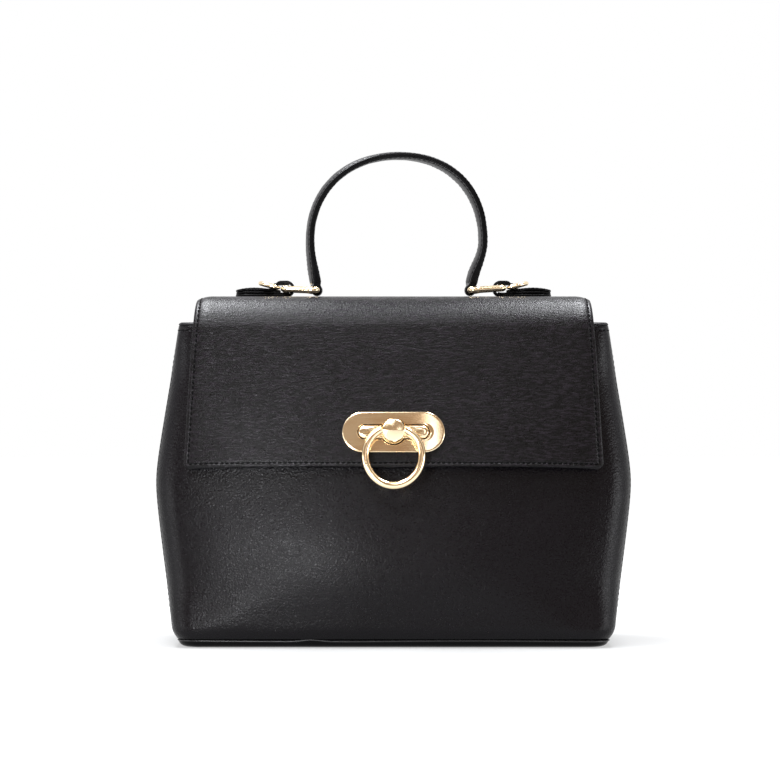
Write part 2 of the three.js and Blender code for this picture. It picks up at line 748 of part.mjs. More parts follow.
for (const [name, side] of [["left", -1], ["right", 1]]) {
  const half = new THREE.Group();
  half.position.y = HANDLE.y;
  half.rotation.z = side < 0 ? Math.PI : 0;
  bag.add(half);
  place(`${name}_handle_loop`, handleLoopGeometry(), MATERIALS.leather, half).position.set(LOOP.x, 0, LOOP.z);
  place(`${name}_tab`, tabGeometry(), MATERIALS.leather, half);

  const ring = place(`${name}_handle_ring`, wireRingGeometry(), MATERIALS.gold, half);
  ring.position.set(LOOP.x, 0, LOOP.z);
  ring.rotation.y = -Math.asin(WIRE_RING.rise / WIRE_RING.reach);

  const dRing = place(`${name}_d_ring`, dRingGeometry(), MATERIALS.gold, half);
  dRing.position.set(D_RING.x, 0, D_RING.z);
  dRing.rotation.y = -THREE.MathUtils.degToRad(D_RING.lean);

  const lockScrew = place(`${name}_lock_screw`, screwGeometry(-4.7, 1.3), MATERIALS.gold, lockFrame);
  lockScrew.position.x = side * LOCK.screwX;
  const keeperScrew = place(`${name}_keeper_screw`, screwGeometry(-12.2, -5.6), MATERIALS.gold, lockFrame);
  keeperScrew.position.x = side * LOCK.keeperScrewX;
}

export default bag;
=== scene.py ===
"""Looks of a top-handle bag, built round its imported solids: leather, stitching, gilt fittings and studio.

Sizes are in millimetres and enter the scene in metres. The front is towards -Y and up is +Z.
"""

import logging
import math
from dataclasses import dataclass
from enum import Enum
from typing import Any, Iterable, Sequence

import bpy
import numpy as np
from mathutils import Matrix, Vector


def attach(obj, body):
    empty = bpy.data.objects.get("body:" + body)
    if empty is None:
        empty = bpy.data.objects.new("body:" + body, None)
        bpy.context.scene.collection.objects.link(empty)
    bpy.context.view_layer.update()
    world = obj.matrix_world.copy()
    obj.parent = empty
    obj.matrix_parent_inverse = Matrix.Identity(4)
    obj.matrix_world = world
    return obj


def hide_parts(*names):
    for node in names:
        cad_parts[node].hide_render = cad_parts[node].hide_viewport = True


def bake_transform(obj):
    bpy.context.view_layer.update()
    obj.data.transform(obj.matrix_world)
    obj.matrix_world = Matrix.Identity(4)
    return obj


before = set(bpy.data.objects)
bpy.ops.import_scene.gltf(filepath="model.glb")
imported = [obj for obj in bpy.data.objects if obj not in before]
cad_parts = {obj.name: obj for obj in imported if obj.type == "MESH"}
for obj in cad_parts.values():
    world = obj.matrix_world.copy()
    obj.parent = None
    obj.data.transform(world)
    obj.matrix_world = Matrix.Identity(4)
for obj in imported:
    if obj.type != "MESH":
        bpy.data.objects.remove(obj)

Points = np.ndarray
Pair = tuple[float, float]
Place = tuple[float, float, float]
Row = tuple[float, ...]
Profile = tuple[Pair, ...]
Colour = tuple[float, float, float, float]

MM = 0.001
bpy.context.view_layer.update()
LOG = logging.getLogger("bag")
WAVE_COUNT = 6


# Geometry helpers


def unit(vectors: Points) -> Points:
    """Vectors scaled to length one."""
    return vectors / np.maximum(np.linalg.norm(vectors, axis=-1, keepdims=True), 1e-12)


def smooth(t: Points) -> Points:
    """Smooth step of values cut to 0..1."""
    t = np.clip(t, 0.0, 1.0)
    return t * t * (3.0 - 2.0 * t)


def mix(a: Any, b: Any, t: Any) -> Any:
    """Value between a and b at share t."""
    return a + (b - a) * t


def points_of(x: Any, y: Any, z: Any) -> Points:
    """Points from coordinates, of which some may be the same all along."""
    return np.stack(np.broadcast_arrays(x, y, z), -1)


def grey(level: float) -> Colour:
    """A grey of some level."""
    return (level, level, level, 1.0)


def waves(a: Points, b: Points, length: float, seed: int) -> Points:
    """Soft uneven waves over a surface.

    Args:
        a: First coordinate over the surface.
        b: Second coordinate over the surface.
        length: Typical distance between crests.
        seed: Number that picks the directions and offsets.

    Returns:
        Heights of about -1 to 1.
    """
    draw = np.random.default_rng(seed)
    total = np.zeros(np.broadcast(a, b).shape)
    turns, offsets = draw.uniform(0, np.pi, WAVE_COUNT), draw.uniform(0, 6.28, WAVE_COUNT)
    stretches = draw.uniform(0.7, 1.6, WAVE_COUNT)
    for turn, offset, stretch in zip(turns, offsets, stretches):
        along = a * np.cos(turn) + b * np.sin(turn)
        total = total + np.sin(2 * np.pi * along / (length * stretch) + offset)
    return total / 3.0


def bezier(start: Pair, leave: Pair, arrive: Pair, end: Pair, steps: int) -> Points:
    """Points along a cubic curve.

    Args:
        start: Where the curve starts.
        leave: Point that it leaves towards.
        arrive: Point that it arrives from.
        end: Where the curve ends.
        steps: Steps along it.

    Returns:
        The points, ends included.
    """
    t = np.linspace(0.0, 1.0, steps + 1)[:, None]
    a, b, c, d = (np.asarray(p, float) for p in (start, leave, arrive, end))
    return (1 - t) ** 3 * a + 3 * (1 - t) ** 2 * t * b + 3 * (1 - t) * t**2 * c + t**3 * d


def arc(cx: float, cy: float, radius: float, start: float, end: float, steps: int) -> Points:
    """Points of an arc in a plane, angles in degrees, ends included."""
    a = np.radians(np.linspace(start, end, steps + 1))
    return np.stack([cx + radius * np.cos(a), cy + radius * np.sin(a)], -1)


def run_lengths(path: Points) -> Points:
    """Distance along a path at each of its points."""
    return np.concatenate([[0.0], np.cumsum(np.linalg.norm(np.diff(path, axis=0), axis=-1))])


def resampled(path: Points, spots: Points) -> Points:
    """Points of a path at given distances along it."""
    runs = run_lengths(path)
    return np.stack([np.interp(spots, runs, path[:, k]) for k in range(path.shape[1])], -1)


def grid_normals(grid: Points) -> Points:
    """Unit normals of a grid of points, across its columns turned towards its rows."""
    return unit(np.cross(np.gradient(grid, axis=1), np.gradient(grid, axis=0)))


def quads(index: np.ndarray, round_rows: bool = False, round_columns: bool = False) -> np.ndarray:
    """Four-cornered faces over a grid of point numbers.

    Args:
        index: Point numbers, rows by columns.
        round_rows: Whether the last row joins the first.
        round_columns: Whether the last column joins the first.

    Returns:
        One row of four point numbers for each face.
    """
    if round_rows:
        index = np.vstack([index, index[:1]])
    if round_columns:
        index = np.hstack([index, index[:, :1]])
    return np.stack([index[:-1, :-1], index[:-1, 1:], index[1:, 1:], index[1:, :-1]], -1).reshape(-1, 4)


@dataclass
class Solid:
    """Points in millimetres and the faces over them, each with the number of its finish."""

    points: Points
    faces: list[Sequence[int]]
    paints: list[int]

    def facing_out(self) -> "Solid":
        """Turns this solid's faces outwards.

        Returns:
            The same solid.
        """
        volume = 0.0
        p = self.points - self.points.mean(0)
        for size in {len(f) for f in self.faces}:
            f = np.array([face for face in self.faces if len(face) == size])
            for k in range(1, size - 1):
                volume += np.einsum("ij,ij->", p[f[:, 0]], np.cross(p[f[:, k]], p[f[:, k + 1]]))
        if volume < 0:
            self.faces = [tuple(face)[::-1] for face in self.faces]
        return self

    def over(self, points: Points) -> "Solid":
        """A copy of this solid with its points elsewhere."""
        return Solid(points, list(self.faces), list(self.paints))

    def turned(self, y: float = 0.0) -> "Solid":
        """A copy of this solid on the other side of the bag, turned about an upright axis at a depth."""
        axis = np.array([0.0, y, 0.0])
        return self.over((self.points - axis) * np.array([-1.0, -1.0, 1.0]) + axis)

    @staticmethod
    def together(solids: Iterable["Solid"]) -> "Solid":
        """Several solids as one.

        Args:
            solids: Solids in order.

        Returns:
            One solid with all their points and faces.
        """
        points, faces, paints, count = [], [], [], 0
        for solid in solids:
            points.append(solid.points)
            faces += [tuple(i + count for i in face) for face in solid.faces]
            paints += solid.paints
            count += len(solid.points)
        return Solid(np.concatenate(points), faces, paints)


def loft(rings: Points, endless: bool = False) -> Solid:
    """Solid through closed rings of points.

    Args:
        rings: Points, rings by points by 3.
        endless: Whether the last ring joins the first; otherwise both ends are capped.

    Returns:
        The solid, facing outwards.
    """
    count, size = rings.shape[:2]
    index = np.arange(count * size).reshape(count, size)
    faces = [tuple(f) for f in quads(index, endless, True).tolist()]
    if not endless:
        faces += [tuple(index[0][::-1].tolist()), tuple(index[-1].tolist())]
    return Solid(rings.reshape(-1, 3), faces, [0] * len(faces)).facing_out()


def rounded_sheet(
    outer: Points,
    half: float,
    flip: bool = False,
    relief: Points | None = None,
    steps: int = 3,
    fullness: float = 1.0,
) -> Solid:
    """Closed sheet under an outer face, with a half-round edge all the way round.

    Args:
        outer: Grid of the outer face, ending half a thickness inside the outline.
        half: Half the thickness.
        flip: Whether the grid's normals point inwards.
        relief: Heights added to the outer face alone.
        steps: Strips in each half-round edge.
        fullness: Reach of the edge as a share of the half thickness.

    Returns:
        The sheet; its face and back have paint 0 and its edge has paint 1.
    """
    normal = grid_normals(outer) * (-1.0 if flip else 1.0)
    mid = outer - half * normal
    thick = np.full(outer.shape[:2], half)
    lift = np.zeros(outer.shape[:2]) if relief is None else relief
    angles = np.linspace(0.0, np.pi / 2, steps + 1)[1:]
    reach, fade = fullness * half * np.sin(angles)[:, None, None], np.cos(angles)[:, None]
    for axis in (0, 1):
        mid, normal, thick, lift = (np.moveaxis(v, axis, 0) for v in (mid, normal, thick, lift))
        before = mid[0] + reach * unit(mid[0] - mid[1])
        after = mid[-1] + reach * unit(mid[-1] - mid[-2])
        mid = np.concatenate([before[::-1], mid, after])
        normal = np.concatenate([np.repeat(normal[:1], steps, 0), normal, np.repeat(normal[-1:], steps, 0)])
        thick, lift = (np.concatenate([(v[:1] * fade)[::-1], v, v[-1:] * fade]) for v in (thick, lift))
        mid, normal, thick, lift = (np.moveaxis(v, 0, axis) for v in (mid, normal, thick, lift))
    rows, columns = thick.shape
    front = np.arange(rows * columns).reshape(rows, columns)
    inside = np.zeros((rows, columns), bool)
    inside[1:-1, 1:-1] = True
    rear = front.copy()
    rear[inside] = rows * columns + np.arange(inside.sum())
    rim = np.ones((rows - 1, columns - 1), int)
    rim[steps:-steps, steps:-steps] = 0
    faces = [tuple(f) for f in quads(front).tolist()] + [tuple(f)[::-1] for f in quads(rear).tolist()]
    top = (mid + normal * (thick + lift)[..., None]).reshape(-1, 3)
    low = (mid - normal * thick[..., None])[inside]
    return Solid(np.concatenate([top, low]), faces, rim.ravel().tolist() * 2).facing_out()


def tube(path: Points, radii: Points, up: Sequence[float], sides: int = 20, closed: bool = True) -> Solid:
    """Round wire along a flat path.

    Args:
        path: Points of the wire's middle.
        radii: Radius at each point.
        up: Direction square to the plane of the path.
        sides: Points round the wire.
        closed: Whether the wire joins up; otherwise its ends are capped.

    Returns:
        The wire.
    """
    along = np.roll(path, -1, 0) - np.roll(path, 1, 0) if closed else np.gradient(path, axis=0)
    side = unit(np.cross(along, np.asarray(up, float)))
    top = unit(np.cross(side, along))
    a = np.linspace(0, 2 * np.pi, sides, endpoint=False)
    ring = np.cos(a)[None, :, None] * side[:, None] + np.sin(a)[None, :, None] * top[:, None]
    return loft(path[:, None] + np.asarray(radii)[:, None, None] * ring, closed)


def lathe(profile: Sequence[Pair], sides: int) -> Solid:
    """Turned solid about the third axis, from radius and height pairs."""
    a = np.linspace(0, 2 * np.pi, sides, endpoint=False)
    return loft(np.array([points_of(r * np.cos(a), r * np.sin(a), h) for r, h in profile]))


@dataclass(frozen=True)
class Stitching:
    """One kind of sewn line."""

    pitch: float = 3.7
    length: float = 2.7
    width: float = 0.52
    slant: float = 10.0
    sink: float = 0.10
    arch: float = 0.16
    flatness: float = 0.8
    sides: int = 6
    outline: Profile = (
        (-1.0, 0.25), (-0.86, 0.75), (-0.5, 0.97), (0.0, 1.0), (0.5, 0.97), (0.86, 0.75), (1.0, 0.25),
    )

    def along(self, path: Points, normals: Points) -> Solid:
        """Thread lying in short stitches along a path.

        Args:
            path: Points of the sewn line on the surface.
            normals: Directions out of the surface at those points.

        Returns:
            The stitches as one solid.
        """
        runs = run_lengths(path)
        total = runs[-1]
        count = max(2, int(round(total / self.pitch)))
        spots = (np.arange(count) + 0.5) * total / count
        out = unit(np.stack([np.interp(spots, runs, normals[:, k]) for k in range(3)], -1))
        along = unit(resampled(path, spots + 0.2) - resampled(path, spots - 0.2))
        across = unit(np.cross(out, along))
        c, s = math.cos(math.radians(self.slant)), math.sin(math.radians(self.slant))
        along, across = along * c + across * s, across * c - along * s
        place, size = np.array(self.outline).T
        size = self.width * size[:, None]
        a = np.linspace(0, 2 * np.pi, self.sides, endpoint=False)
        t = np.repeat(place * self.length / 2, self.sides)
        v = (size * np.cos(a)).ravel()
        rise = np.repeat(self.arch * (1 - place**2) - self.sink, self.sides)
        h = (size * self.flatness * np.sin(a)).ravel() + rise
        points = resampled(path, spots)[:, None]
        for reach, way in ((t, along), (v, across), (h, out)):
            points = points + reach[None, :, None] * way[:, None]
        index = np.arange(len(t)).reshape(len(place), self.sides)
        one = [*quads(index, False, True)[:, ::-1].tolist(), index[0].tolist(), index[-1][::-1].tolist()]
        faces = [tuple(i + len(t) * k for i in face) for k in range(count) for face in one]
        return Solid(points.reshape(-1, 3), faces, [0] * len(faces))


# Shader expressions


class Signal:
    """A shader value; arithmetic on it adds Math nodes."""

    def __init__(self, board: "NodeBoard", socket: Any) -> None:
        """Wraps one output socket of a board."""
        self.board, self.socket = board, socket

    def _math(self, operation: str, first: Any, second: Any) -> "Signal":
        """Value of a Math node."""
        return self.board.node("ShaderNodeMath", {"operation": operation}, {0: first, 1: second})

    def __add__(self, other: Any) -> "Signal":
        """Sum."""
        return self._math("ADD", self, other)

    __radd__ = __add__

    def __sub__(self, other: Any) -> "Signal":
        """Difference."""
        return self._math("SUBTRACT", self, other)

    def __rsub__(self, other: Any) -> "Signal":
        """Difference from a number."""
        return self._math("SUBTRACT", other, self)

    def __mul__(self, other: Any) -> "Signal":
        """Product."""
        return self._math("MULTIPLY", self, other)

    __rmul__ = __mul__

    def __or__(self, other: Any) -> "Signal":
        """Larger of two values."""
        return self._math("MAXIMUM", self, other)


class NodeBoard:
    """Node tree written as expressions."""

    def __init__(self, tree: bpy.types.NodeTree) -> None:
        """Clears a node tree and takes it over."""
        self.tree = tree
        tree.nodes.clear()

    def node(
        self, kind: str, settings: dict | None = None, inputs: dict | None = None, output: int | str = 0
    ) -> Signal:
        """Adds a node.

        Args:
            kind: Node type.
            settings: Properties, set first.
            inputs: Numbers or signals by socket name or number.
            output: Socket that the returned signal reads.

        Returns:
            The signal of that output.
        """
        made = self.tree.nodes.new(kind)
        for key, value in (settings or {}).items():
            setattr(made, key, value)
        for key, value in (inputs or {}).items():
            if isinstance(value, Signal):
                self.tree.links.new(value.socket, made.inputs[key])
            else:
                made.inputs[key].default_value = value
        return Signal(self, made.outputs[output])

    def place(self, stretch: Place = (1.0, 1.0, 1.0)) -> Signal:
        """Position on the piece in millimetres.

        Args:
            stretch: What it is multiplied by along each axis.

        Returns:
            The position.
        """
        spot = self.node("ShaderNodeTexCoord", output="Object")
        scale = tuple(s / MM for s in stretch)
        return self.node("ShaderNodeVectorMath", {"operation": "MULTIPLY"}, {0: spot, 1: scale})

    def noise(self, place: Signal, scale: float, detail: float = 2.0, rough: float = 0.5) -> Signal:
        """Noise of about 0 to 1 over a position."""
        inputs = {"Vector": place, "Scale": scale, "Detail": detail, "Roughness": rough}
        return self.node("ShaderNodeTexNoise", None, inputs)

    def shaken(self, place: Signal, scale: float, amount: float) -> Signal:
        """Position moved about unevenly.

        Args:
            place: Position to move.
            scale: How fine the moves are.
            amount: About twice the largest move.

        Returns:
            The moved position.
        """
        noise = {"Vector": place, "Scale": scale, "Detail": 1.0}
        drift = self.node("ShaderNodeTexNoise", None, noise, "Color")
        centred = self.node("ShaderNodeVectorMath", {"operation": "SUBTRACT"}, {0: drift, 1: (0.5, 0.5, 0.5)})
        moved = self.node("ShaderNodeVectorMath", {"operation": "SCALE"}, {0: centred, "Scale": amount})
        return self.node("ShaderNodeVectorMath", {"operation": "ADD"}, {0: place, 1: moved})

    def ease(self, value: Signal, low: float, high: float) -> Signal:
        """Smooth step of a value between two levels."""
        settings = {"interpolation_type": "SMOOTHSTEP"}
        return self.node("ShaderNodeMapRange", settings, {0: value, 1: low, 2: high})

    def tint(self, share: Signal, first: Colour, second: Colour) -> Signal:
        """Colour between two colours."""
        return self.node("ShaderNodeMix", {"data_type": "RGBA"}, {0: share, 6: first, 7: second}, 2)

    def bump(self, height: Signal, depth: float, strength: float = 1.0) -> Signal:
        """Normal from a height of 0 to 1 that stands for a depth in millimetres."""
        inputs = {"Height": height, "Distance": depth * MM, "Strength": strength}
        return self.node("ShaderNodeBump", None, inputs)

    def surface(self, inputs: dict) -> None:
        """Ends the board in one Principled surface."""
        shader = self.node("ShaderNodeBsdfPrincipled", None, inputs)
        self.end("ShaderNodeOutputMaterial", shader)

    def end(self, kind: str, shader: Signal) -> None:
        """Ends the board in an output of some kind."""
        made = self.tree.nodes.new(kind)
        self.tree.links.new(shader.socket, made.inputs["Surface"])


# Finishes


@dataclass(frozen=True)
class Finish:
    """A finish that makes its material once."""

    name: str

    def material(self) -> bpy.types.Material:
        """The finish's material.

        Returns:
            The material, made at the first call.
        """
        made = bpy.data.materials.get(self.name)
        if made is None:
            made = bpy.data.materials.new(self.name)
            made.use_nodes = True
            self.paint(NodeBoard(made.node_tree))
        return made

    def paint(self, board: NodeBoard) -> None:
        """Draws the finish on a board."""
        raise NotImplementedError


@dataclass(frozen=True)
class Leather(Finish):
    """Drawn and pressed calf leather with a fine pebble and drawn creases."""

    colour: Colour = (0.0031, 0.0023, 0.0037, 1.0)
    # Colour of the painted shade in the valleys between pebbles and in the crease grooves.
    valley_shade: Colour = (0.0011, 0.0008, 0.0014, 1.0)
    pebble: float = 1.5
    depth: float = 0.055
    crease: float = 0.30
    lump: float = 0.0
    mottle: float = 0.8
    speckle: float = 0.24
    rough: float = 0.25
    shine: float = 0.19
    shake: Pair = (0.45, 1.6)
    pebble_edge: float = 0.28
    drawn_stretch: Place = (0.20, 0.35, 1.0)
    streak_levels: Pair = (0.43, 0.66)
    fine: Pair = (2.6, 0.25)
    mottle_scale: float = 0.42
    cloud_scale: float = 0.018
    speck_scale: float = 0.85
    dull_valley: float = 0.10
    dull_cloud: float = 0.12
    dull_streak: float = 0.16

    def paint(self, board: NodeBoard) -> None:
        """Draws pebbles, creases and uneven polish, with painted shade that darkens the pebble valleys and
        crease grooves.

        Args:
            board: Board to draw on.
        """
        place = board.place()
        edge = board.node(
            "ShaderNodeTexVoronoi",
            {"feature": "DISTANCE_TO_EDGE"},
            {"Vector": board.shaken(place, *self.shake), "Scale": 1.0 / self.pebble},
        )
        pebble = board.ease(edge, 0.0, self.pebble_edge)
        drawn = board.noise(board.place(self.drawn_stretch), 1.0, 2.0, 0.55)
        fine = board.noise(place, self.fine[0])
        mottle = board.noise(place, self.mottle_scale, 1.0)
        cloud = board.noise(place, self.cloud_scale, 3.0)
        speck = board.noise(place, self.speck_scale, 1.0)
        pebble_share = (1.0 - 0.6 * self.crease) / (1.0 + 0.5 * self.lump)
        pressed = pebble * pebble_share + drawn * (3.0 * self.crease)
        height = pressed + speck * self.lump + fine * self.fine[1] + mottle * self.mottle
        streak = board.ease(drawn, *self.streak_levels)
        # Base colour: random tone, with painted shade in the pebble valleys and crease grooves.
        tone_and_valley_shade = (pebble * 0.55 + cloud * 0.45) * (1.0 - self.crease) + streak * self.crease
        speckled = (speck - 0.5) * self.speckle
        uneven = speckled + (1.0 - pebble) * self.dull_valley + (cloud - 0.5) * self.dull_cloud
        streaky = (0.5 - streak) * (self.dull_streak * self.crease)
        board.surface(
            {
                "Base Color": board.tint(tone_and_valley_shade, self.valley_shade, self.colour),
                "Roughness": uneven + streaky + self.rough,
                "Normal": board.bump(height, self.depth),
                "Specular IOR Level": self.shine,
            }
        )


@dataclass(frozen=True)
class EdgePaint(Finish):
    """Black paint built up and burnished on cut leather edges."""

    colour: Colour = (0.0024, 0.0024, 0.0028, 1.0)
    rough: float = 0.30
    shine: float = 0.08
    thin: float = 0.45

    def paint(self, board: NodeBoard) -> None:
        """Draws the slight unevenness of brushed-on paint.

        Args:
            board: Board to draw on.
        """
        flow = board.noise(board.place(), 0.5, 3.0)
        r, g, b, alpha = self.colour
        thin = (self.thin * r, self.thin * g, self.thin * b, alpha)
        board.surface(
            {
                "Base Color": board.tint(flow, thin, self.colour),
                "Roughness": (flow - 0.5) * 0.2 + self.rough,
                "Normal": board.bump(flow, 0.10, 0.6),
                "Specular IOR Level": self.shine,
            }
        )


@dataclass(frozen=True)
class Thread(Finish):
    """Waxed black thread."""

    colour: Colour = (0.0016, 0.0015, 0.0017, 1.0)
    shade: Colour = (0.0005, 0.0005, 0.0006, 1.0)

    def paint(self, board: NodeBoard) -> None:
        """Draws the twist of the thread.

        Args:
            board: Board to draw on.
        """
        inputs = {"Vector": board.place(), "Scale": 1.1, "Distortion": 0.6}
        twist = board.node("ShaderNodeTexWave", {"bands_direction": "DIAGONAL"}, inputs)
        board.surface(
            {
                "Base Color": board.tint(twist, self.shade, self.colour),
                "Roughness": twist * 0.15 + 0.6,
                "Normal": board.bump(twist, 0.08),
                "Specular IOR Level": 0.05,
            }
        )


class Polish(Enum):
    """How a gilt fitting was finished."""

    BRIGHT = "bright"
    BRUSHED = "brushed"


@dataclass(frozen=True)
class Gilt(Finish):
    """Pale gold plating."""

    polish: Polish = Polish.BRIGHT
    colour: Colour = (0.95, 0.79, 0.54, 1.0)
    shade: Colour = (0.92, 0.73, 0.48, 1.0)
    rough: float = 0.12

    def paint(self, board: NodeBoard) -> None:
        """Draws bright plating with faint handling marks, or level brush lines.

        Args:
            board: Board to draw on.
        """
        if self.polish is Polish.BRUSHED:
            lines = board.noise(board.place((0.05, 4.0, 4.0)), 1.0, 3.0, 0.6)
            cloud = board.noise(board.place((0.5, 1.0, 1.0)), 0.09, 1.0)
            sheen = board.ease(lines * 0.4 + cloud * 0.6, 0.36, 0.64)
            inputs = {
                "Base Color": board.tint(sheen, self.shade, self.colour),
                "Roughness": lines * 0.08 + self.rough,
                "Normal": board.bump(lines, 0.0015, 0.8),
            }
        else:
            haze = board.noise(board.place(), 0.22, 3.0)
            inputs = {
                "Base Color": board.tint(haze, self.shade, self.colour),
                "Roughness": board.ease(haze, 0.35, 0.8) * 0.07 + self.rough,
                "Normal": board.bump(haze, 0.01, 0.5),
            }
        inputs["Metallic"] = 1.0
        board.surface(inputs)


@dataclass(frozen=True)
class Cloth(Finish):
    """Woven lining cloth."""

    colour: Colour = (0.060, 0.048, 0.038, 1.0)
    shade: Colour = (0.030, 0.024, 0.019, 1.0)
    threads: float = 0.7

    def paint(self, board: NodeBoard) -> None:
        """Draws warp and weft with slubs.

        Args:
            board: Board to draw on.
        """
        place = board.place()
        inputs = {"Vector": place, "Scale": 1.0 / self.threads / 3.1, "Distortion": 0.8, "Detail": 1.0}
        warp, weft = (board.node("ShaderNodeTexWave", {"bands_direction": axis}, inputs) for axis in "XZ")
        slub = board.noise(place, 0.4, 3.0)
        height = warp * weft
        board.surface(
            {
                "Base Color": board.tint(height * 0.6 + slub * 0.4, self.shade, self.colour),
                "Roughness": 0.9 - height * 0.15,
                "Normal": board.bump(height, 0.15),
                "Sheen Weight": 0.15,
            }
        )


@dataclass(frozen=True)
class Board(Finish):
    """Brown stiffening board."""

    colour: Colour = (0.25, 0.20, 0.14, 1.0)
    fleck: Colour = (0.16, 0.13, 0.09, 1.0)

    def paint(self, board: NodeBoard) -> None:
        """Draws pulp flecks.

        Args:
            board: Board to draw on.
        """
        fleck = board.noise(board.place(), 0.9, 4.0, 0.7)
        board.surface(
            {
                "Base Color": board.tint(fleck, self.fleck, self.colour),
                "Roughness": fleck * 0.1 + 0.85,
                "Normal": board.bump(fleck, 0.1),
            }
        )


BODY_LEATHER = Leather("body_leather", lump=5.0, shine=0.165)
FLAP_LEATHER = Leather(
    "flap_leather",
    # The colour of the crests, then the near-black painted shade of the pebble valleys and crease grooves.
    (0.0110, 0.0091, 0.0117, 1.0),
    (0.0002, 0.0002, 0.0003, 1.0),
    depth=0.085,
    crease=0.85,
    mottle=0.4,
    rough=0.24,
    shine=0.165,
)
STRAP_LEATHER = Leather("strap_leather", pebble=1.1, depth=0.04, crease=0.2, rough=0.28, shine=0.28)
FACING_LEATHER = Leather("facing_leather", pebble=1.1, depth=0.04, crease=0.2, mottle=1.0, rough=0.42)
EDGE_PAINT = EdgePaint("edge_paint")
# Paler grey paint on the base lip: a painted highlight that draws the light line along the base seam.
LIP_HIGHLIGHT_PAINT = EdgePaint("lip_painted_highlight", (0.024, 0.023, 0.025, 1.0), 0.34, 0.4)
THREAD = Thread("waxed_thread")
BRIGHT_GILT = Gilt("bright_gilt")
BRUSHED_GILT = Gilt(
    "brushed_gilt", Polish.BRUSHED, (0.97, 0.82, 0.58, 1.0), (0.84, 0.62, 0.38, 1.0), 0.11
)
LINING_CLOTH = Cloth("lining_cloth")
STIFF_BOARD = Board("stiff_board")


# Pieces


@dataclass(frozen=True)
class Bend:
    """A fold of leather between two bodies."""

    first: str
    second: str
    start: Place
    end: Place


def add_piece(
    name: str,
    solid: Solid,
    finishes: Sequence[Finish],
    carrier: str | Bend,
    stands_for: Sequence[str] = (),
    crisp: float = 42.0,
) -> None:
    """Puts a solid into the scene as a piece of the bag.

    Args:
        name: Name of the piece.
        solid: Its shape in millimetres.
        finishes: Finishes by paint number.
        carrier: Body that it rides on, or the fold that it crosses.
        stands_for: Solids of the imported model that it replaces.
        crisp: Angle in degrees from which an edge stays sharp.
    """
    mesh = bpy.data.meshes.new(name)
    mesh.from_pydata((solid.points * MM).tolist(), [], solid.faces)
    for finish in finishes:
        mesh.materials.append(finish.material())
    mesh.polygons.foreach_set("material_index", [min(p, len(finishes) - 1) for p in solid.paints])
    mesh.shade_smooth()
    mesh.set_sharp_from_angle(angle=math.radians(crisp))
    mesh.validate()
    piece = bpy.data.objects.new(name, mesh)
    bpy.context.scene.collection.objects.link(piece)
    if isinstance(carrier, Bend):
        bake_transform(piece)
    else:
        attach(piece, carrier)
    if stands_for:
        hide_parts(*stands_for)
    LOG.info("%s: %d points, %d faces", name, len(mesh.vertices), len(mesh.polygons))


@dataclass(frozen=True)
class CornerRidge:
    """Slack ridge that rises from a lower corner of a panel towards its middle, with a dip above it."""

    side: int
    height: float
    start_x: float = 134.0
    run: float = 75.0
    start_z: float = 6.0
    rise: float = 26.0
    steepness: float = 0.82
    half: float = 11.0
    dip: float = 0.4
    dip_off: float = 21.0
    dip_half: float = 13.0
    grow: float = 0.5
    fade: Pair = (0.4, 0.8)
    last: float = 1.4
    foot: float = 12.0

    def relief(self, x: Points, z: Points, seam_z: float) -> Points:
        """Height of the ridge over a panel.

        Args:
            x: Positions across the panel.
            z: Heights on the panel.
            seam_z: Height of the seam under the panel.

        Returns:
            Heights over the panel's face.
        """
        t = np.clip((self.start_x - self.side * x) / self.run, 0.0, self.last)
        line = self.start_z + self.rise * np.sin(np.pi / 2 * np.clip(t, 0, 1))
        off = (z - line) * self.steepness
        ending = 1 - smooth((t - self.fade[0]) / self.fade[1])
        strength = smooth(t / self.grow) * ending * smooth((z - seam_z) / self.foot)
        dip = self.dip * np.exp(-(((off - self.dip_off) / self.dip_half) ** 2))
        return self.height * strength * (np.exp(-((off / self.half) ** 2)) - dip)


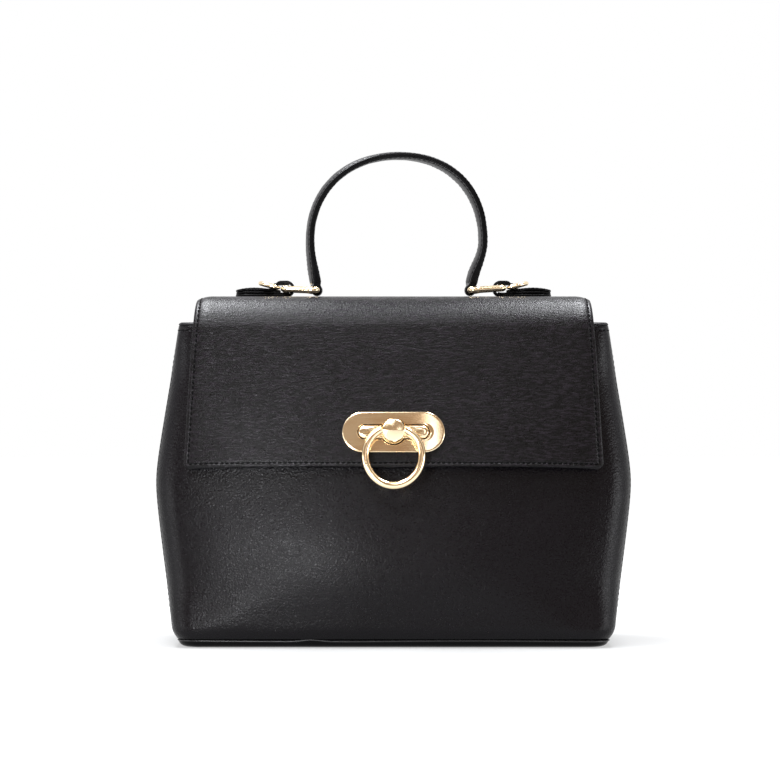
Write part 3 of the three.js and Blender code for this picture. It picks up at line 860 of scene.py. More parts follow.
@dataclass
class Body:
    """Sewn shell of the bag with its base, rim facing and lining."""

    leather: float = 1.8
    seam_z: float = 4.8
    waist_z: float = 107.0
    rim_z: float = 207.5
    base_half_width: float = 142.0
    waist_half_width: float = 156.5
    rim_half_width: float = 140.0
    waist_softness: float = 4.0
    base_half_depth: float = 68.0
    rim_half_depth: float = 38.0
    base_corner: float = 14.0
    rim_corner: float = 10.0
    side_wrap: float = 8.0
    swell: float = 4.0
    belly: float = 4.5
    belly_top: float = 118.0
    belly_lean: float = 0.85
    corner_slack: float = 7.0
    slack_run: float = 40.0
    shoulder: float = 3.2
    shoulder_power: int = 6
    curl: float = 3.0
    curl_height: float = 9.0
    ridges: tuple[CornerRidge, ...] = (CornerRidge(-1, 1.0), CornerRidge(1, 0.7))
    wave: float = 0.35
    wave_length: float = 95.0
    wave_fade: Place = (30.0, 12.0, 25.0)
    wave_seeds: tuple[int, int] = (3, 8)
    gusset_fold: float = 14.0
    gusset_lap: float = 3.5
    gusset_wave: float = 0.5
    gusset_wave_length: float = 42.0
    gusset_wave_seed: int = 21
    gusset_wave_fade: Place = (14.0, 12.0, 30.0)
    tuck: float = 1.0
    tuck_run: float = 4.0
    groove: float = 0.22
    groove_side: float = 0.6
    seam_columns: Row = (0.0, 0.7, 1.3, 1.7, 2.1, 2.5, 3.1)
    seam_dent: Row = (0.0, 0.05, 0.35, 0.8, 1.0, 0.8, 0.35, 0.05)
    low_rows: Row = (0.0, 0.8, 1.7, 2.8, 4.2, 6.0, 8.0, 10.5)
    high_rows: Row = (5.5, 4.0, 3.2, 2.8, 2.4, 2.0, 1.4, 0.7, 0.0)
    sewn_column: int = 4
    sewn_rows: tuple[int, int] = (4, -5)
    panel_rows_between: int = 64
    panel_columns: int = 101
    corner_columns: int = 16
    gusset_columns: int = 49
    outline_steps: tuple[int, int, int] = (14, 81, 33)
    base_profile: Profile = (
        (40.0, 0.0), (7.5, 0.0), (5.0, 0.25), (3.2, 0.75), (1.9, 1.5), (1.1, 2.4), (0.6, 3.2),
        (0.15, 3.75), (-0.35, 4.0), (-0.55, 4.25), (-0.5, 4.5), (-0.1, 4.75), (1.4, 5.0), (2.1, 5.3),
        (2.1, 14.0), (3.9, 14.0), (3.9, 4.5), (7.5, 1.8), (40.0, 1.8),
    )
    lip_levels: Pair = (3.5, 5.4)
    lip_rows: tuple[int, int] = (8, 12)
    lip_start: Pair = (40.0, 20.0)
    lip_nick: Place = (1.1, -53.0, 8.0)
    lip_wave: Pair = (0.25, 31.0)
    facing_depth: float = 26.0
    facing_lap: float = 6.0
    lining_inset: float = 5.0
    lining_top_inset: float = 4.1
    lining_foot: Profile = ((30.0, 4.9), (5.0, 4.9), (2.0, 7.2), (0.0, 14.0))
    lining_rows: tuple[float, float, int] = (22.0, 172.0, 26)
    lining_hem: float = 2.0
    cloth: float = 0.8
    lining_slack: float = 1.3
    lining_slack_z: Place = (10.0, 168.0, 30.0)
    lining_wave_length: float = 55.0
    lining_wave_seed: int = 5

    def share(self, z: Points) -> Points:
        """Share of the height between base seam and rim."""
        return np.clip((z - self.seam_z) / (self.rim_z - self.seam_z), 0.0, 1.0)

    def curl_in(self, z: Points) -> Points:
        """How far the panels turn in above the base seam."""
        return self.curl * (1 - np.clip((z - self.seam_z) / self.curl_height, 0.0, 1.0)) ** 2

    def corner(self, z: Points) -> Points:
        """Corner radius at a height, softer between the seams."""
        return self.tight_corner(z) + self.corner_slack * self.ease_off(z)

    def ease_off(self, z: Points) -> Points:
        """Share by which the leather stands free of the seams at its top and bottom."""
        return smooth((z - self.seam_z) / self.slack_run) * smooth((self.rim_z - z) / self.slack_run)

    def tight_corner(self, z: Points) -> Points:
        """Corner radius at a height as cut."""
        return mix(self.base_corner, self.rim_corner, self.share(z))

    def half_width(self, z: Points) -> Points:
        """Half the width at a height, with a soft waist.

        Args:
            z: Heights.

        Returns:
            Half widths at those heights.
        """
        below = (z - self.seam_z) / (self.waist_z - self.seam_z)
        above = (self.rim_z - z) / (self.rim_z - self.waist_z)
        lower = mix(self.base_half_width, self.waist_half_width, below)
        upper = mix(self.rim_half_width, self.waist_half_width, above)
        return (lower + upper - np.hypot(lower - upper, self.waist_softness)) / 2 - self.curl_in(z)

    def half_depth(self, z: Points) -> Points:
        """Half the depth at a height."""
        rise = (z - self.seam_z) / (self.rim_z - self.seam_z)
        return mix(self.base_half_depth, self.rim_half_depth, rise) - self.curl_in(z)

    def side_seam(self, z: Points) -> Points:
        """Distance of the side seams from the middle of the side."""
        return self.half_depth(z) - self.tight_corner(z) - self.side_wrap

    def fold(self, z: Points) -> Points:
        """How far the middle of a gusset folds in."""
        return self.gusset_fold * np.clip((z - self.waist_z) / (self.rim_z - self.waist_z), 0.0, 1.0)

    def swelling(self, z: Points, front: bool = False) -> Points:
        """How far the middle of a panel stands out.

        Args:
            z: Heights.
            front: Whether it is the front panel, which has a belly.

        Returns:
            Distances at those heights.
        """
        swell = self.swell * np.sin(np.pi * self.share(z))
        if front:
            height = np.clip((z - self.seam_z) / (self.belly_top - self.seam_z), 0.0, 1.0)
            swell = swell + self.belly * np.sin(np.pi * height**self.belly_lean) ** 2
        return swell

    def face_y(self, x: Points, z: Points) -> Points:
        """Distance of the flat of the back panel's outer face from the middle of the bag.

        Args:
            x: Positions across the panel.
            z: Heights on the panel.

        Returns:
            Distances at those places.
        """
        u = np.clip(x / (self.half_width(z) - self.corner(z)), -1.0, 1.0)
        fall = self.shoulder * self.ease_off(z) * u**self.shoulder_power
        return self.half_depth(z) + self.swelling(z) * (1 - u**2) - fall

    def panel_face(self, z: Points, front: bool) -> Points:
        """Outer face of a panel, drawn as the front one.

        Args:
            z: Heights of its rows.
            front: Whether it has the belly of the front panel.

        Returns:
            A grid from the left seam to the right seam.
        """
        zz = z[:, None]
        w, d, r = self.half_width(zz), self.half_depth(zz), self.corner(zz)
        swell, fall = self.swelling(zz, front), self.shoulder * self.ease_off(zz)
        lean = np.arctan((2 * swell + self.shoulder_power * fall) / (w - r))
        centre = r * np.cos(lean) - (d - fall)
        edge = -(self.side_seam(zz) + self.leather / 2)
        from_edge = np.array(self.seam_columns)
        last = np.minimum(edge - from_edge[-1], centre + 0.2)
        wrap_y = np.hstack([edge - from_edge, mix(edge - from_edge[-1], last, 0.5), last])
        along = np.maximum(0.0, centre - wrap_y)
        wrap_x = r - w - np.sqrt(np.maximum(r**2 - along**2, 0.0))
        first = np.pi + np.arcsin(along[:, -1:] / r)
        a = mix(first, 1.5 * np.pi - lean, np.linspace(0, 1, self.corner_columns)[1:])
        left_x = np.hstack([wrap_x, r - w + r * np.cos(a)])
        left_y = np.hstack([wrap_y, centre + r * np.sin(a)])
        u = np.linspace(-1, 1, self.panel_columns)[1:-1]
        front_x = u * (w - r * (1 - np.sin(lean)))
        front_y = -(d + swell * (1 - u**2) - fall * u**self.shoulder_power)
        x = np.hstack([left_x, front_x, -left_x[:, ::-1]])
        y = np.hstack([left_y, front_y, left_y[:, ::-1]])
        return points_of(x, y, zz)

    def softness(self, grid: Points, front: bool) -> Points:
        """Slack of the leather: ridges at the lower corners and low waves.

        Args:
            grid: Outer face of the panel.
            front: Whether it is the front panel.

        Returns:
            Heights over the face.
        """
        x, z = grid[..., 0], grid[..., 2]
        side, low, high = self.wave_fade
        inner = smooth((self.half_width(z) - np.abs(x)) / side)
        inner = inner * smooth((z - self.seam_z) / low) * smooth((self.rim_z - z) / high)
        seed = self.wave_seeds[0 if front else 1]
        relief = self.wave * inner * waves(x, z, self.wave_length, seed)
        for ridge in self.ridges:
            relief = relief + ridge.relief(x, z, self.seam_z)
        return relief

    def panel_rows(self) -> Points:
        """Heights of the rows of a panel, closer at its edges.

        Returns:
            The heights from the base seam up to the rim.
        """
        edge = self.leather / 2
        low = self.seam_z + edge + np.array(self.low_rows)
        high = self.rim_z - edge - np.array(self.high_rows)
        between = np.linspace(low[-1], high[0], self.panel_rows_between)[1:-1]
        return np.concatenate([low, between, high])

    def panel(self, front: bool) -> tuple[Solid, list[Solid]]:
        """Front or back panel, and its rows of stitches.

        Args:
            front: Whether it is the front panel.

        Returns:
            The panel, and its stitches at both sides and along the rim.
        """
        grid = self.panel_face(self.panel_rows(), front)
        columns = np.arange(grid.shape[1])
        dent = np.zeros(grid.shape[1])
        dent[: len(self.seam_dent)] = self.seam_dent
        relief = self.softness(grid, front) - self.groove * dent[np.minimum(columns, columns[::-1])]
        column, (low, high) = self.sewn_column, self.sewn_rows
        relief[high] -= self.groove
        relief[[high - 1, high + 1]] -= self.groove_side * self.groove
        normals = grid_normals(grid)
        sunk = grid - self.groove * normals
        upright = slice(low, high)
        runs = ((upright, column), (upright, -1 - column), (high, slice(column, -column)))
        sewing = [Stitching().along(sunk[run], normals[run]) for run in runs]
        solid = rounded_sheet(grid, self.leather / 2, relief=relief)
        return (solid, sewing) if front else (solid.turned(), [s.turned() for s in sewing])

    def gusset(self) -> Solid:
        """Right gusset, tucked under the edges of the panels.

        Returns:
            The gusset.
        """
        zz = self.panel_rows()[:, None]
        seam = self.side_seam(zz)
        y = np.linspace(-1, 1, self.gusset_columns)[None, :] * (seam + self.gusset_lap)
        bend = np.cos(np.pi * np.clip(y / seam, -1, 1))
        under = self.tuck * smooth((np.abs(y) - seam + self.tuck_run) / self.tuck_run)
        side, foot, run = self.gusset_wave_fade
        slack = self.gusset_wave * waves(y, zz, self.gusset_wave_length, self.gusset_wave_seed)
        slack = slack * smooth((seam - np.abs(y)) / side)
        x = self.half_width(zz) - self.fold(zz) * (1 + bend) / 2 - under + slack * smooth((zz - foot) / run)
        return rounded_sheet(points_of(x, y, zz), self.leather / 2)

    def outline(self, z: float, inset: float) -> Points:
        """Whole outline at a height, once round.

        Args:
            z: Height.
            inset: Distance by which it is set in from the outer face.

        Returns:
            The outline's points.
        """
        zz = max(z, self.seam_z)
        w, d = self.half_width(zz) - inset, self.half_depth(zz) - inset
        r, seam, fold = self.corner(zz) - inset, self.side_seam(zz), self.fold(zz)
        turns, across, beside = self.outline_steps
        turn = arc(r - w, r - d, r, 180, 270, turns)
        u = np.linspace(-1, 1, across)[1:-1]
        flat = np.stack([u * (w - r), -(d + self.swelling(zz) * (1 - u**2))], -1)
        v = np.linspace(-1, 1, beside)
        side = np.stack([w - fold * (1 + np.cos(np.pi * v)) / 2, v * seam], -1)
        half = np.concatenate([turn, flat, (turn * [-1, 1])[::-1], side])
        ring = np.concatenate([half, -half])
        return points_of(ring[:, 0], ring[:, 1], z)

    def base(self) -> Solid:
        """Leather tray under the body, with a lip that shows below the panels.

        Returns:
            The tray; its lip has paint 1, which takes the painted highlight.
        """
        rings = np.array([self.outline(z, inset) for inset, z in self.base_profile])
        (start, run), (low, high) = self.lip_start, self.lip_levels
        (nick, nick_x, nick_half), (wave, length) = self.lip_nick, self.lip_wave
        for ring, (_, z) in zip(rings, self.base_profile):
            if low < z < high:
                x, front = ring[:, 0], smooth((-ring[:, 1] - start) / run)
                bump = nick * np.exp(-(((x - nick_x) / nick_half) ** 2)) + wave * np.sin(x / length)
                ring[:, 2] += front * bump
        made = loft(rings)
        first, last = (row * rings.shape[1] for row in self.lip_rows)
        made.paints[first:last] = [1] * (last - first)
        return made

    def facing(self) -> Solid:
        """Leather band inside the rim, turned out over its edge.

        Returns:
            The band.
        """
        low = self.rim_z - self.facing_depth
        profile = [
            (0.1, 207.4), (-0.15, 207.9), (0.0, 208.5), (0.5, 209.0), (1.3, 209.3), (2.2, 209.2),
            (2.9, 208.8), (3.25, 208.0), (3.35, 206.5), (3.3, 195.0), (3.3, low + 0.5), (3.0, low),
            (2.4, low), (2.1, low + 0.5), (2.1, 195.0), (2.05, 206.6), (1.4, 207.3), (0.7, 207.5),
        ]
        return loft(np.array([self.outline(z, inset) for inset, z in profile]), endless=True)

    def lining(self) -> Solid:
        """Cloth cup inside the bag, slack between its seams.

        Returns:
            The cup.
        """
        top, side = self.rim_z - self.facing_depth + self.facing_lap, self.lining_inset
        rows = [(side + inset, z) for inset, z in self.lining_foot]
        rows += [(side, z) for z in np.linspace(*self.lining_rows)]
        rows += [(self.lining_top_inset, top - self.lining_hem), (self.lining_top_inset, top)]
        on_floor = (np.arange(len(rows)) < 2)[:, None]
        low, high, run = self.lining_slack_z
        shells = []
        for cloth in (0.0, self.cloth):
            rings = np.array([self.outline(z, inset + cloth) for inset, z in rows])
            rings[:, :, 2] += cloth * on_floor
            x, y, z = np.moveaxis(rings, -1, 0)
            slack = smooth((z - low) / run) * smooth((high - z) / run)
            push = slack * (0.5 + 0.5 * waves(x + y, z, self.lining_wave_length, self.lining_wave_seed))
            shells.append(rings - self.lining_slack * push[..., None] * unit(rings * [1, 1, 0]))
        return loft(np.concatenate([shells[0], shells[1][::-1]]))

    def build(self) -> None:
        """Builds and dresses the body."""
        faces, edges = (BODY_LEATHER, EDGE_PAINT), []
        for name, front in (("front_panel", True), ("back_panel", False)):
            solid, sewing = self.panel(front)
            edges += sewing
            add_piece(f"{name}_leather", solid, faces, "bag", [name])
        right = self.gusset()
        for name, solid in (("right_gusset", right), ("left_gusset", right.turned())):
            add_piece(f"{name}_leather", solid, faces, "bag", [name])
        # The lip takes the paler paint, a painted highlight along the base seam.
        base = (EDGE_PAINT, LIP_HIGHLIGHT_PAINT)
        add_piece("base_leather", self.base(), base, "bag", ["base_panel"])
        add_piece("rim_facing_leather", self.facing(), (FACING_LEATHER,), "bag", ["rim_facing"])
        add_piece("lining_cup", self.lining(), (LINING_CLOTH,), "bag", ["lining"])
        add_piece("body_stitching", Solid.together(edges), (THREAD,), "bag")


@dataclass
class Flap:
    """Flap sewn to the back, rolled over the top and hanging down the front."""

    leather: float = 1.6
    lining: float = 1.0
    lining_gap: float = 0.15
    lining_margin: float = 0.6
    gap: float = 0.3
    hinge_rise: float = 0.8
    top_z: float = 226.5
    lower_z: float = 115.8
    slope: float = 0.188
    front_roll: float = 26.0
    hinge_half: float = 124.0
    lower_half: float = 135.5
    corner: float = 4.0
    bow: float = 6.0
    bow_power: int = 4
    tail_drop: float = 36.0
    tail_half: float = 118.0
    tail_corner: float = 9.0
    sewn: float = 3.0
    groove: float = 0.34
    groove_half: float = 0.62
    welt: float = 0.10
    welt_place: float = 0.45
    welt_half: float = 0.35
    droop: float = 2.2
    droop_reach: float = 9.0
    droop_fade: Pair = (0.75, 4.0)
    wave: float = 0.35
    wave_span: float = 200.0
    wave_length: float = 120.0
    wave_seed: int = 11
    wave_fade: float = 3.0
    lower_rows: Row = (3.4, 3.0, 2.65, 2.2, 1.75, 1.3, 0.8, 0.45, 0.2, 0.05, 0.0)
    lower_run: float = 4.6
    drop_rows: int = 44
    roll_steps: tuple[int, int, int] = (22, 10, 26)
    tail_rows: Row = (0.0, 0.2, 0.5, 0.9, 1.3, 1.75, 2.2, 2.65, 3.1, 4.0, 5.5, 8.0)
    tail_upper: tuple[float, float, int] = (11.0, 0.4, 12)
    side_columns: Row = (0.0, 0.7, 1.3, 1.75, 2.2, 2.65, 3.1, 3.9, 5.2, 7.0, 9.0)
    inner_columns: int = 73
    sewn_column: int = 4
    sewn_tail_row: int = 6
    sewn_lower_row: int = -8
    thread: Stitching = Stitching(3.4, 2.6, 0.66)
    lock_z: float = 138.0
    lock_y: float = -59.949
    fold: Bend = Bend("bag", "flap", (0.0, 0.0408, 0.208), (0.0, 0.0335, 0.208))

    @property
    def tilt(self) -> float:
        """Lean of the hanging front, in radians."""
        return math.atan(self.slope)

    def rows(self, body: Body) -> dict[str, Points]:
        """Profile of the flap's outer face from the hinge to the lower edge.

        Args:
            body: Body that carries the flap.

        Returns:
            Positions, normals, drop share, distance to the lower edge and half widths by row.
        """
        start = np.array([body.rim_half_depth + self.gap + self.leather, body.rim_z + self.hinge_rise])
        back = math.atan((body.base_half_depth - body.rim_half_depth) / (body.rim_z - body.seam_z))
        rear = (self.top_z - start[1]) / (1 - math.sin(back))
        rear_y = start[0] - rear * math.cos(back)
        front_z = self.top_z - self.front_roll
        drop_z = front_z + self.front_roll * math.sin(self.tilt)
        drop_y = self.lock_y + self.slope * (drop_z - self.lock_z)
        front_y = drop_y + self.front_roll * math.cos(self.tilt)
        length = (drop_z - self.lower_z) / math.cos(self.tilt)
        end = length - self.leather / 2
        upper_runs = np.linspace(0, end - self.lower_run, self.drop_rows)[1:]
        runs = np.concatenate([upper_runs, end - np.array(self.lower_rows)])
        drop = np.stack([drop_y - runs * math.sin(self.tilt), drop_z - runs * math.cos(self.tilt)], -1)
        rear_steps, top_steps, front_steps = self.roll_steps
        top_y = np.linspace(rear_y, front_y, top_steps)[1:-1]
        path = np.concatenate(
            [
                arc(rear_y, self.top_z - rear, rear, math.degrees(back), 90, rear_steps),
                np.stack([top_y, np.full(len(top_y), self.top_z)], -1),
                arc(front_y, front_z, self.front_roll, 90, 180 - math.degrees(self.tilt), front_steps),
                drop,
            ]
        )
        along = run_lengths(path)
        to_end = along[-1] - along
        corner = self.corner - self.leather / 2
        rise = np.clip(corner - to_end, 0, corner)
        trim = corner - np.sqrt(np.maximum(corner**2 - rise**2, 0.0))
        half = mix(self.hinge_half, self.lower_half, along / along[-1]) - self.leather / 2 - trim
        step = np.gradient(path, axis=0)
        normal = unit(np.stack([step[:, 1], -step[:, 0]], -1))
        share = np.clip((along - along[-len(drop) - 1]) / length, 0.0, 1.0)
        return {"path": path, "normal": normal, "drop": share, "to_end": to_end, "half": half}

    def spread(self, half: Points, margin: float = 0.0) -> tuple[Points, Points]:
        """Places across the flap for rows of given half widths.

        Args:
            half: Half width of each row.
            margin: Width left off at each side.

        Returns:
            Positions across, rows by columns, and distances from the nearer side edge.
        """
        near = np.array(self.side_columns) + margin
        inner = np.linspace(-1, 1, self.inner_columns)
        side = half[:, None] - near
        middle = inner[None, 1:-1] * (half[:, None] - near[-1])
        x = np.hstack([-side, middle, side[:, ::-1]])
        return x, half[:, None] - np.abs(x)

    def hanging(self, body: Body, depth: float, margin: float) -> tuple[Points, Points]:
        """Face of the flap from the hinge to the lower edge.

        Args:
            body: Body that carries the flap.
            depth: Depth below the outer face.
            margin: Width left off at each side.

        Returns:
            Grid, and distances to the nearest free edge.
        """
        rows = self.rows(body)
        x, from_side = self.spread(rows["half"], margin)
        u = x / np.maximum(rows["half"], 1.0)[:, None]
        drop = rows["drop"][:, None]
        edge = self.droop * np.clip(1 - from_side / self.droop_reach, 0, 1) ** 2
        edge = edge * (1 - self.droop_fade[0] * smooth(drop * self.droop_fade[1]))
        lift = self.wave * waves(x, self.wave_span * drop, self.wave_length, self.wave_seed)
        shift = depth + self.bow * u**self.bow_power * drop + edge - lift * smooth(drop * self.wave_fade)
        y, z = (rows["path"][:, k : k + 1] - rows["normal"][:, k : k + 1] * shift for k in (0, 1))
        return points_of(x, y, z), np.minimum(from_side, rows["to_end"][:, None])

    def tail(self, body: Body) -> tuple[Points, Points]:
        """Face of the tail sewn down on the back panel, from its lower edge to the hinge.

        Args:
            body: Body that carries the flap.

        Returns:
            Grid, and distances to the nearest free edge.
        """
        edge = self.leather / 2
        first, short, count = self.tail_upper
        up = np.concatenate([self.tail_rows, np.linspace(first, self.tail_drop - edge - short, count)])
        z = body.rim_z - self.tail_drop + edge + up
        radius = self.tail_corner - edge
        rise = np.clip(radius - up, 0, radius)
        trim = radius - np.sqrt(radius**2 - rise**2)
        half = mix(self.tail_half, self.hinge_half, up / self.tail_drop) - edge - trim
        x, from_side = self.spread(half)
        y = body.face_y(x, z[:, None]) + self.gap + self.leather
        return points_of(x, y, z[:, None]), np.minimum(from_side, up[:, None])

    def build(self, body: Body) -> None:
        """Builds and dresses the flap.

        Args:
            body: Body that carries the flap.
        """
        tail, tail_edge = self.tail(body)
        front, front_edge = self.hanging(body, 0.0, 0.0)
        grid = np.concatenate([tail, front])
        edge = np.concatenate([tail_edge, front_edge])
        line = self.sewn - self.leather / 2
        relief = -self.groove * np.exp(-(((edge - line) / self.groove_half) ** 2))
        from_welt = (edge - self.welt_place * line) / (self.welt_half * line)
        relief = relief + self.welt * np.exp(-(from_welt**2))
        solid = rounded_sheet(grid, self.leather / 2, flip=True, relief=relief, steps=4)
        stands_for = ["flap_outer", "flap_tail"]
        add_piece("flap_leather_sheet", solid, (FLAP_LEATHER,), self.fold, stands_for)
        normals = -grid_normals(grid)
        sunk = grid - self.groove * normals
        column, hinge = self.sewn_column, len(tail)
        across = slice(column, -column)
        runs = []
        for rows, end in (
            (slice(hinge, self.sewn_lower_row), self.sewn_lower_row),
            (slice(self.sewn_tail_row, hinge), self.sewn_tail_row),
        ):
            runs += [(rows, column), (rows, -1 - column), (end, across)]
        sewing = Solid.together(self.thread.along(sunk[run], normals[run]) for run in runs)
        add_piece("flap_stitching", sewing, (THREAD,), self.fold)
        depth = self.leather + self.lining_gap + self.lining
        under, _ = self.hanging(body, depth, self.lining_margin)
        inner = rounded_sheet(under[1:-1], self.lining / 2)
        finishes = (FACING_LEATHER, EDGE_PAINT)
        add_piece("flap_lining_leather", inner, finishes, self.fold, ["flap_lining"])


@dataclass
class TurnLock:
    """Ring turn lock on the front of the flap, in a frame with x across, y up the flap and z outwards."""

    origin: Place = (0.0, -59.949, 138.0)
    tilt: float = math.atan(0.188)
    plate: Pair = (66.0, 26.5)
    plate_face: float = 2.5
    plate_bend: float = 1.3
    plate_crown: float = 0.05
    plate_lip: Profile = ((0.0, -0.7), (0.12, -0.25), (0.4, 0.0), (0.8, 0.02))
    plate_flat: float = 0.55
    plate_bevel: Profile = ((0.45, -0.04), (0.18, -0.26), (0.05, -0.48), (0.0, -0.85))
    plate_points: int = 320
    plate_rings: int = 9
    slot: Pair = (46.3, 9.7)
    slot_eye: float = 8.4
    bush: Pair = (45.3, 8.7)
    bush_eye: float = 7.8
    bush_points: int = 240
    bush_profile: Profile = (
        (1.0, 0.0), (1.0, 1.6), (0.985, 2.1), (0.94, 2.6), (0.85, 3.0),
        (0.7, 3.25), (0.5, 3.38), (0.25, 3.42), (0.02, 3.42),
    )
    seat: float = 2.3
    seat_rim: Pair = (1.5, 2.9)
    pivot: float = 8.2
    pin_points: int = 14
    pin_profile: Profile = ((4.4, 1.0), (4.6, 1.2), (9.0, 1.2), (9.2, 1.0))
    ring_radius: float = 18.15
    ring_wire: float = 2.45
    ring_cut: float = 8.05
    ring_stretch: float = 1.085
    ring_points: int = 121
    ring_sides: int = 24
    ring_lip: Pair = (0.08, 0.18)
    ring_gap: float = 0.4
    ring_end_turn: float = 6.0
    ring_end_power: int = 31
    knob_profile: Profile = (
        (0.4, -7.5), (2.2, -7.5), (2.2, -7.1), (1.5, -7.1), (1.5, -5.2), (2.5, -5.2),
        (2.5, 3.6), (6.6, 3.6), (6.95, 3.75), (7.2, 4.1), (7.3, 4.6), (7.3, 9.7),
        (7.26, 10.1), (7.1, 10.42), (6.8, 10.62), (6.5, 10.75),
    )
    knob_points: int = 96
    knob_dome: float = 0.45
    knob_dome_radii: tuple[float, float, int] = (6.2, 0.05, 18)
    knob_lower_fall: float = 0.23
    knob_upper_fall: float = 0.05
    knob_crease: float = 0.25
    knob_fade: Pair = (9.2, 1.4)

    def in_frame(self, solid: Solid) -> Solid:
        """A solid of the lock's own frame, put in place on the flap.

        Args:
            solid: Solid in the lock's frame.

        Returns:
            The solid in the bag's frame.
        """
        c, s = math.cos(self.tilt), math.sin(self.tilt)
        axes = np.array([[1, 0, 0], [0, s, c], [0, -c, s]])
        return solid.over(solid.points @ axes + np.array(self.origin))

    @staticmethod
    def stadium_reach(angle: Points, size: Pair) -> Points:
        """Distance from the middle to the outline of a bar with round ends.

        Args:
            angle: Directions from the middle.
            size: Length and width of the bar.

        Returns:
            Distances in those directions.
        """
        r = size[1] / 2
        a = size[0] / 2 - r
        c, s = np.abs(np.cos(angle)), np.abs(np.sin(angle))
        side = r / np.maximum(s, 1e-9)
        end = a * c + np.sqrt(np.maximum(r * r - (a * s) ** 2, 0.0))
        return np.where(side * c <= a, side, end)

    def directions(self, size: Pair, count: int) -> Points:
        """Directions that space points evenly along a bar with round ends.

        Args:
            size: Length and width of the bar.
            count: Number of points.

        Returns:
            One direction for each point.
        """
        fine = np.linspace(0, 2 * np.pi, 4001)
        reach = self.stadium_reach(fine, size)
        runs = run_lengths(np.stack([reach * np.cos(fine), reach * np.sin(fine)], -1))
        return np.interp(np.linspace(0, runs[-1], count, endpoint=False), runs, fine)

    def rings(self, angle: Points, levels: Sequence[tuple[Points, Any]]) -> Points:
        """Rings of points from reaches by direction and heights."""
        c, s = np.cos(angle), np.sin(angle)
        return np.array([points_of(r * c, r * s, h) for r, h in levels])

    def bend(self, x: Points) -> Points:
        """How far the plate bends back towards its right end."""
        return self.plate_bend * np.clip(x / (self.plate[0] / 2), 0, 1) ** 3

    def plate_reach(self, angle: Points, inset: float) -> Points:
        """Distance from the middle to the plate's outline, set in by a distance."""
        return self.stadium_reach(angle, (self.plate[0] - 2 * inset, self.plate[1] - 2 * inset))

    def plate_solid(self) -> Solid:
        """Plate with a bevelled outline and a rounded lip round its slot.

        Returns:
            The plate in the lock's frame.
        """
        angle, face = self.directions(self.plate, self.plate_points), self.plate_face
        hole = np.maximum(self.stadium_reach(angle, self.slot), self.slot_eye)
        levels: list[tuple[Points, Any]] = [(hole, 0.0)]
        levels += [(hole + out, face + rise) for out, rise in self.plate_lip]
        lip, flat = levels[-1][0], self.plate_reach(angle, self.plate_flat)
        for t in np.linspace(0, 1, self.plate_rings)[1:]:
            reach = mix(lip, flat, t)
            levels.append((reach, face - self.bend(reach * np.cos(angle)) - self.plate_crown * t))
        sink = self.bend(flat * np.cos(angle)) + self.plate_crown
        levels += [(self.plate_reach(angle, inset), face + rise - sink) for inset, rise in self.plate_bevel]
        levels.append((levels[-1][0], 0.0))
        return loft(self.rings(angle, levels), endless=True)

    def bush_solid(self) -> Solid:
        """Rounded bar in the slot, with a round seat for the knob.

        Returns:
            The bush in the lock's frame.
        """
        angle = self.directions(self.bush, self.bush_points)
        levels: list[tuple[Points, Any]] = []
        rim, rim_z = self.seat_rim
        for share, height in self.bush_profile:
            inset = (1 - share) * self.bush[1] / 2
            size = (max(self.bush[0] - 2 * inset, 0.5), max(self.bush[1] - 2 * inset, 0.2))
            bar, seat = self.stadium_reach(angle, size), self.bush_eye - inset
            beside = np.where(bar < self.bush_eye + rim, min(height, rim_z), height)
            levels.append((np.maximum(bar, seat), np.where(bar < seat, min(height, self.seat), beside)))
        return loft(self.rings(angle, levels))

    def knob_solid(self) -> Solid:
        """Turning knob with a low domed face, creased across its middle.

        Returns:
            The knob in the lock's frame.
        """
        edge, top = self.knob_profile[-1]
        radii = np.linspace(*self.knob_dome_radii)
        dome = [(r, top + self.knob_dome * (1 - (r / edge) ** 2)) for r in radii]
        knob = lathe([*self.knob_profile, *dome], self.knob_points)
        y, z = knob.points[:, 1], knob.points[:, 2]
        fall = np.where(y < 0, self.knob_lower_fall, self.knob_upper_fall)
        fall = fall * (np.hypot(y, self.knob_crease) - self.knob_crease)
        z -= fall * smooth((z - self.knob_fade[0]) / self.knob_fade[1])
        return knob

    def ring_solid(self) -> Solid:
        """Pull ring with flat-cut ends beside the knob, and its two pins.

        Returns:
            The ring in the lock's frame.
        """
        drop = math.sqrt(self.ring_radius**2 - (self.ring_cut + self.ring_gap) ** 2)
        cut = math.degrees(math.asin(self.ring_cut / self.ring_radius))
        a = np.radians(np.linspace(90 + cut, 450 - cut, self.ring_points))
        near_end = np.linspace(-1, 1, self.ring_points) ** self.ring_end_power
        a = a + np.radians(self.ring_end_turn) * near_end
        sides = np.linspace(0, 2 * np.pi, self.ring_sides, endpoint=False)
        spoke = points_of(np.cos(a), np.sin(a), 0.0)
        along = points_of(-np.sin(a), np.cos(a), 0.0)
        outwards = np.cos(sides)[None, :, None] * spoke[:, None]
        wire = outwards + np.sin(sides)[None, :, None] * np.array([0, 0, 1.0])
        rings = spoke[:, None] * self.ring_radius + self.ring_wire * wire
        lips, (draw_in, step) = [], self.ring_lip
        for k, side in ((0, -1), (-1, 1)):
            reach = (side * self.ring_cut - rings[k, :, 0]) / along[k, 0]
            rings[k] += reach[:, None] * along[k]
            lips.append(rings[k] + draw_in * (rings[k].mean(0) - rings[k]))
            rings[k, :, 0] += side * step
        body = np.concatenate([lips[0][None], rings, lips[1][None]])
        body[..., 1] *= np.where(body[..., 1] < 0, self.ring_stretch, 1.0)
        body += np.array([0, -drop, self.pivot])
        reaches, radii = np.array(self.pin_profile).T
        pins = []
        for side in (-1, 1):
            path = np.array([[side * x, 0, self.pivot] for x in reaches])
            pins.append(tube(path, radii, (0, 0, 1), self.pin_points, closed=False))
        return Solid.together([loft(body), *pins])

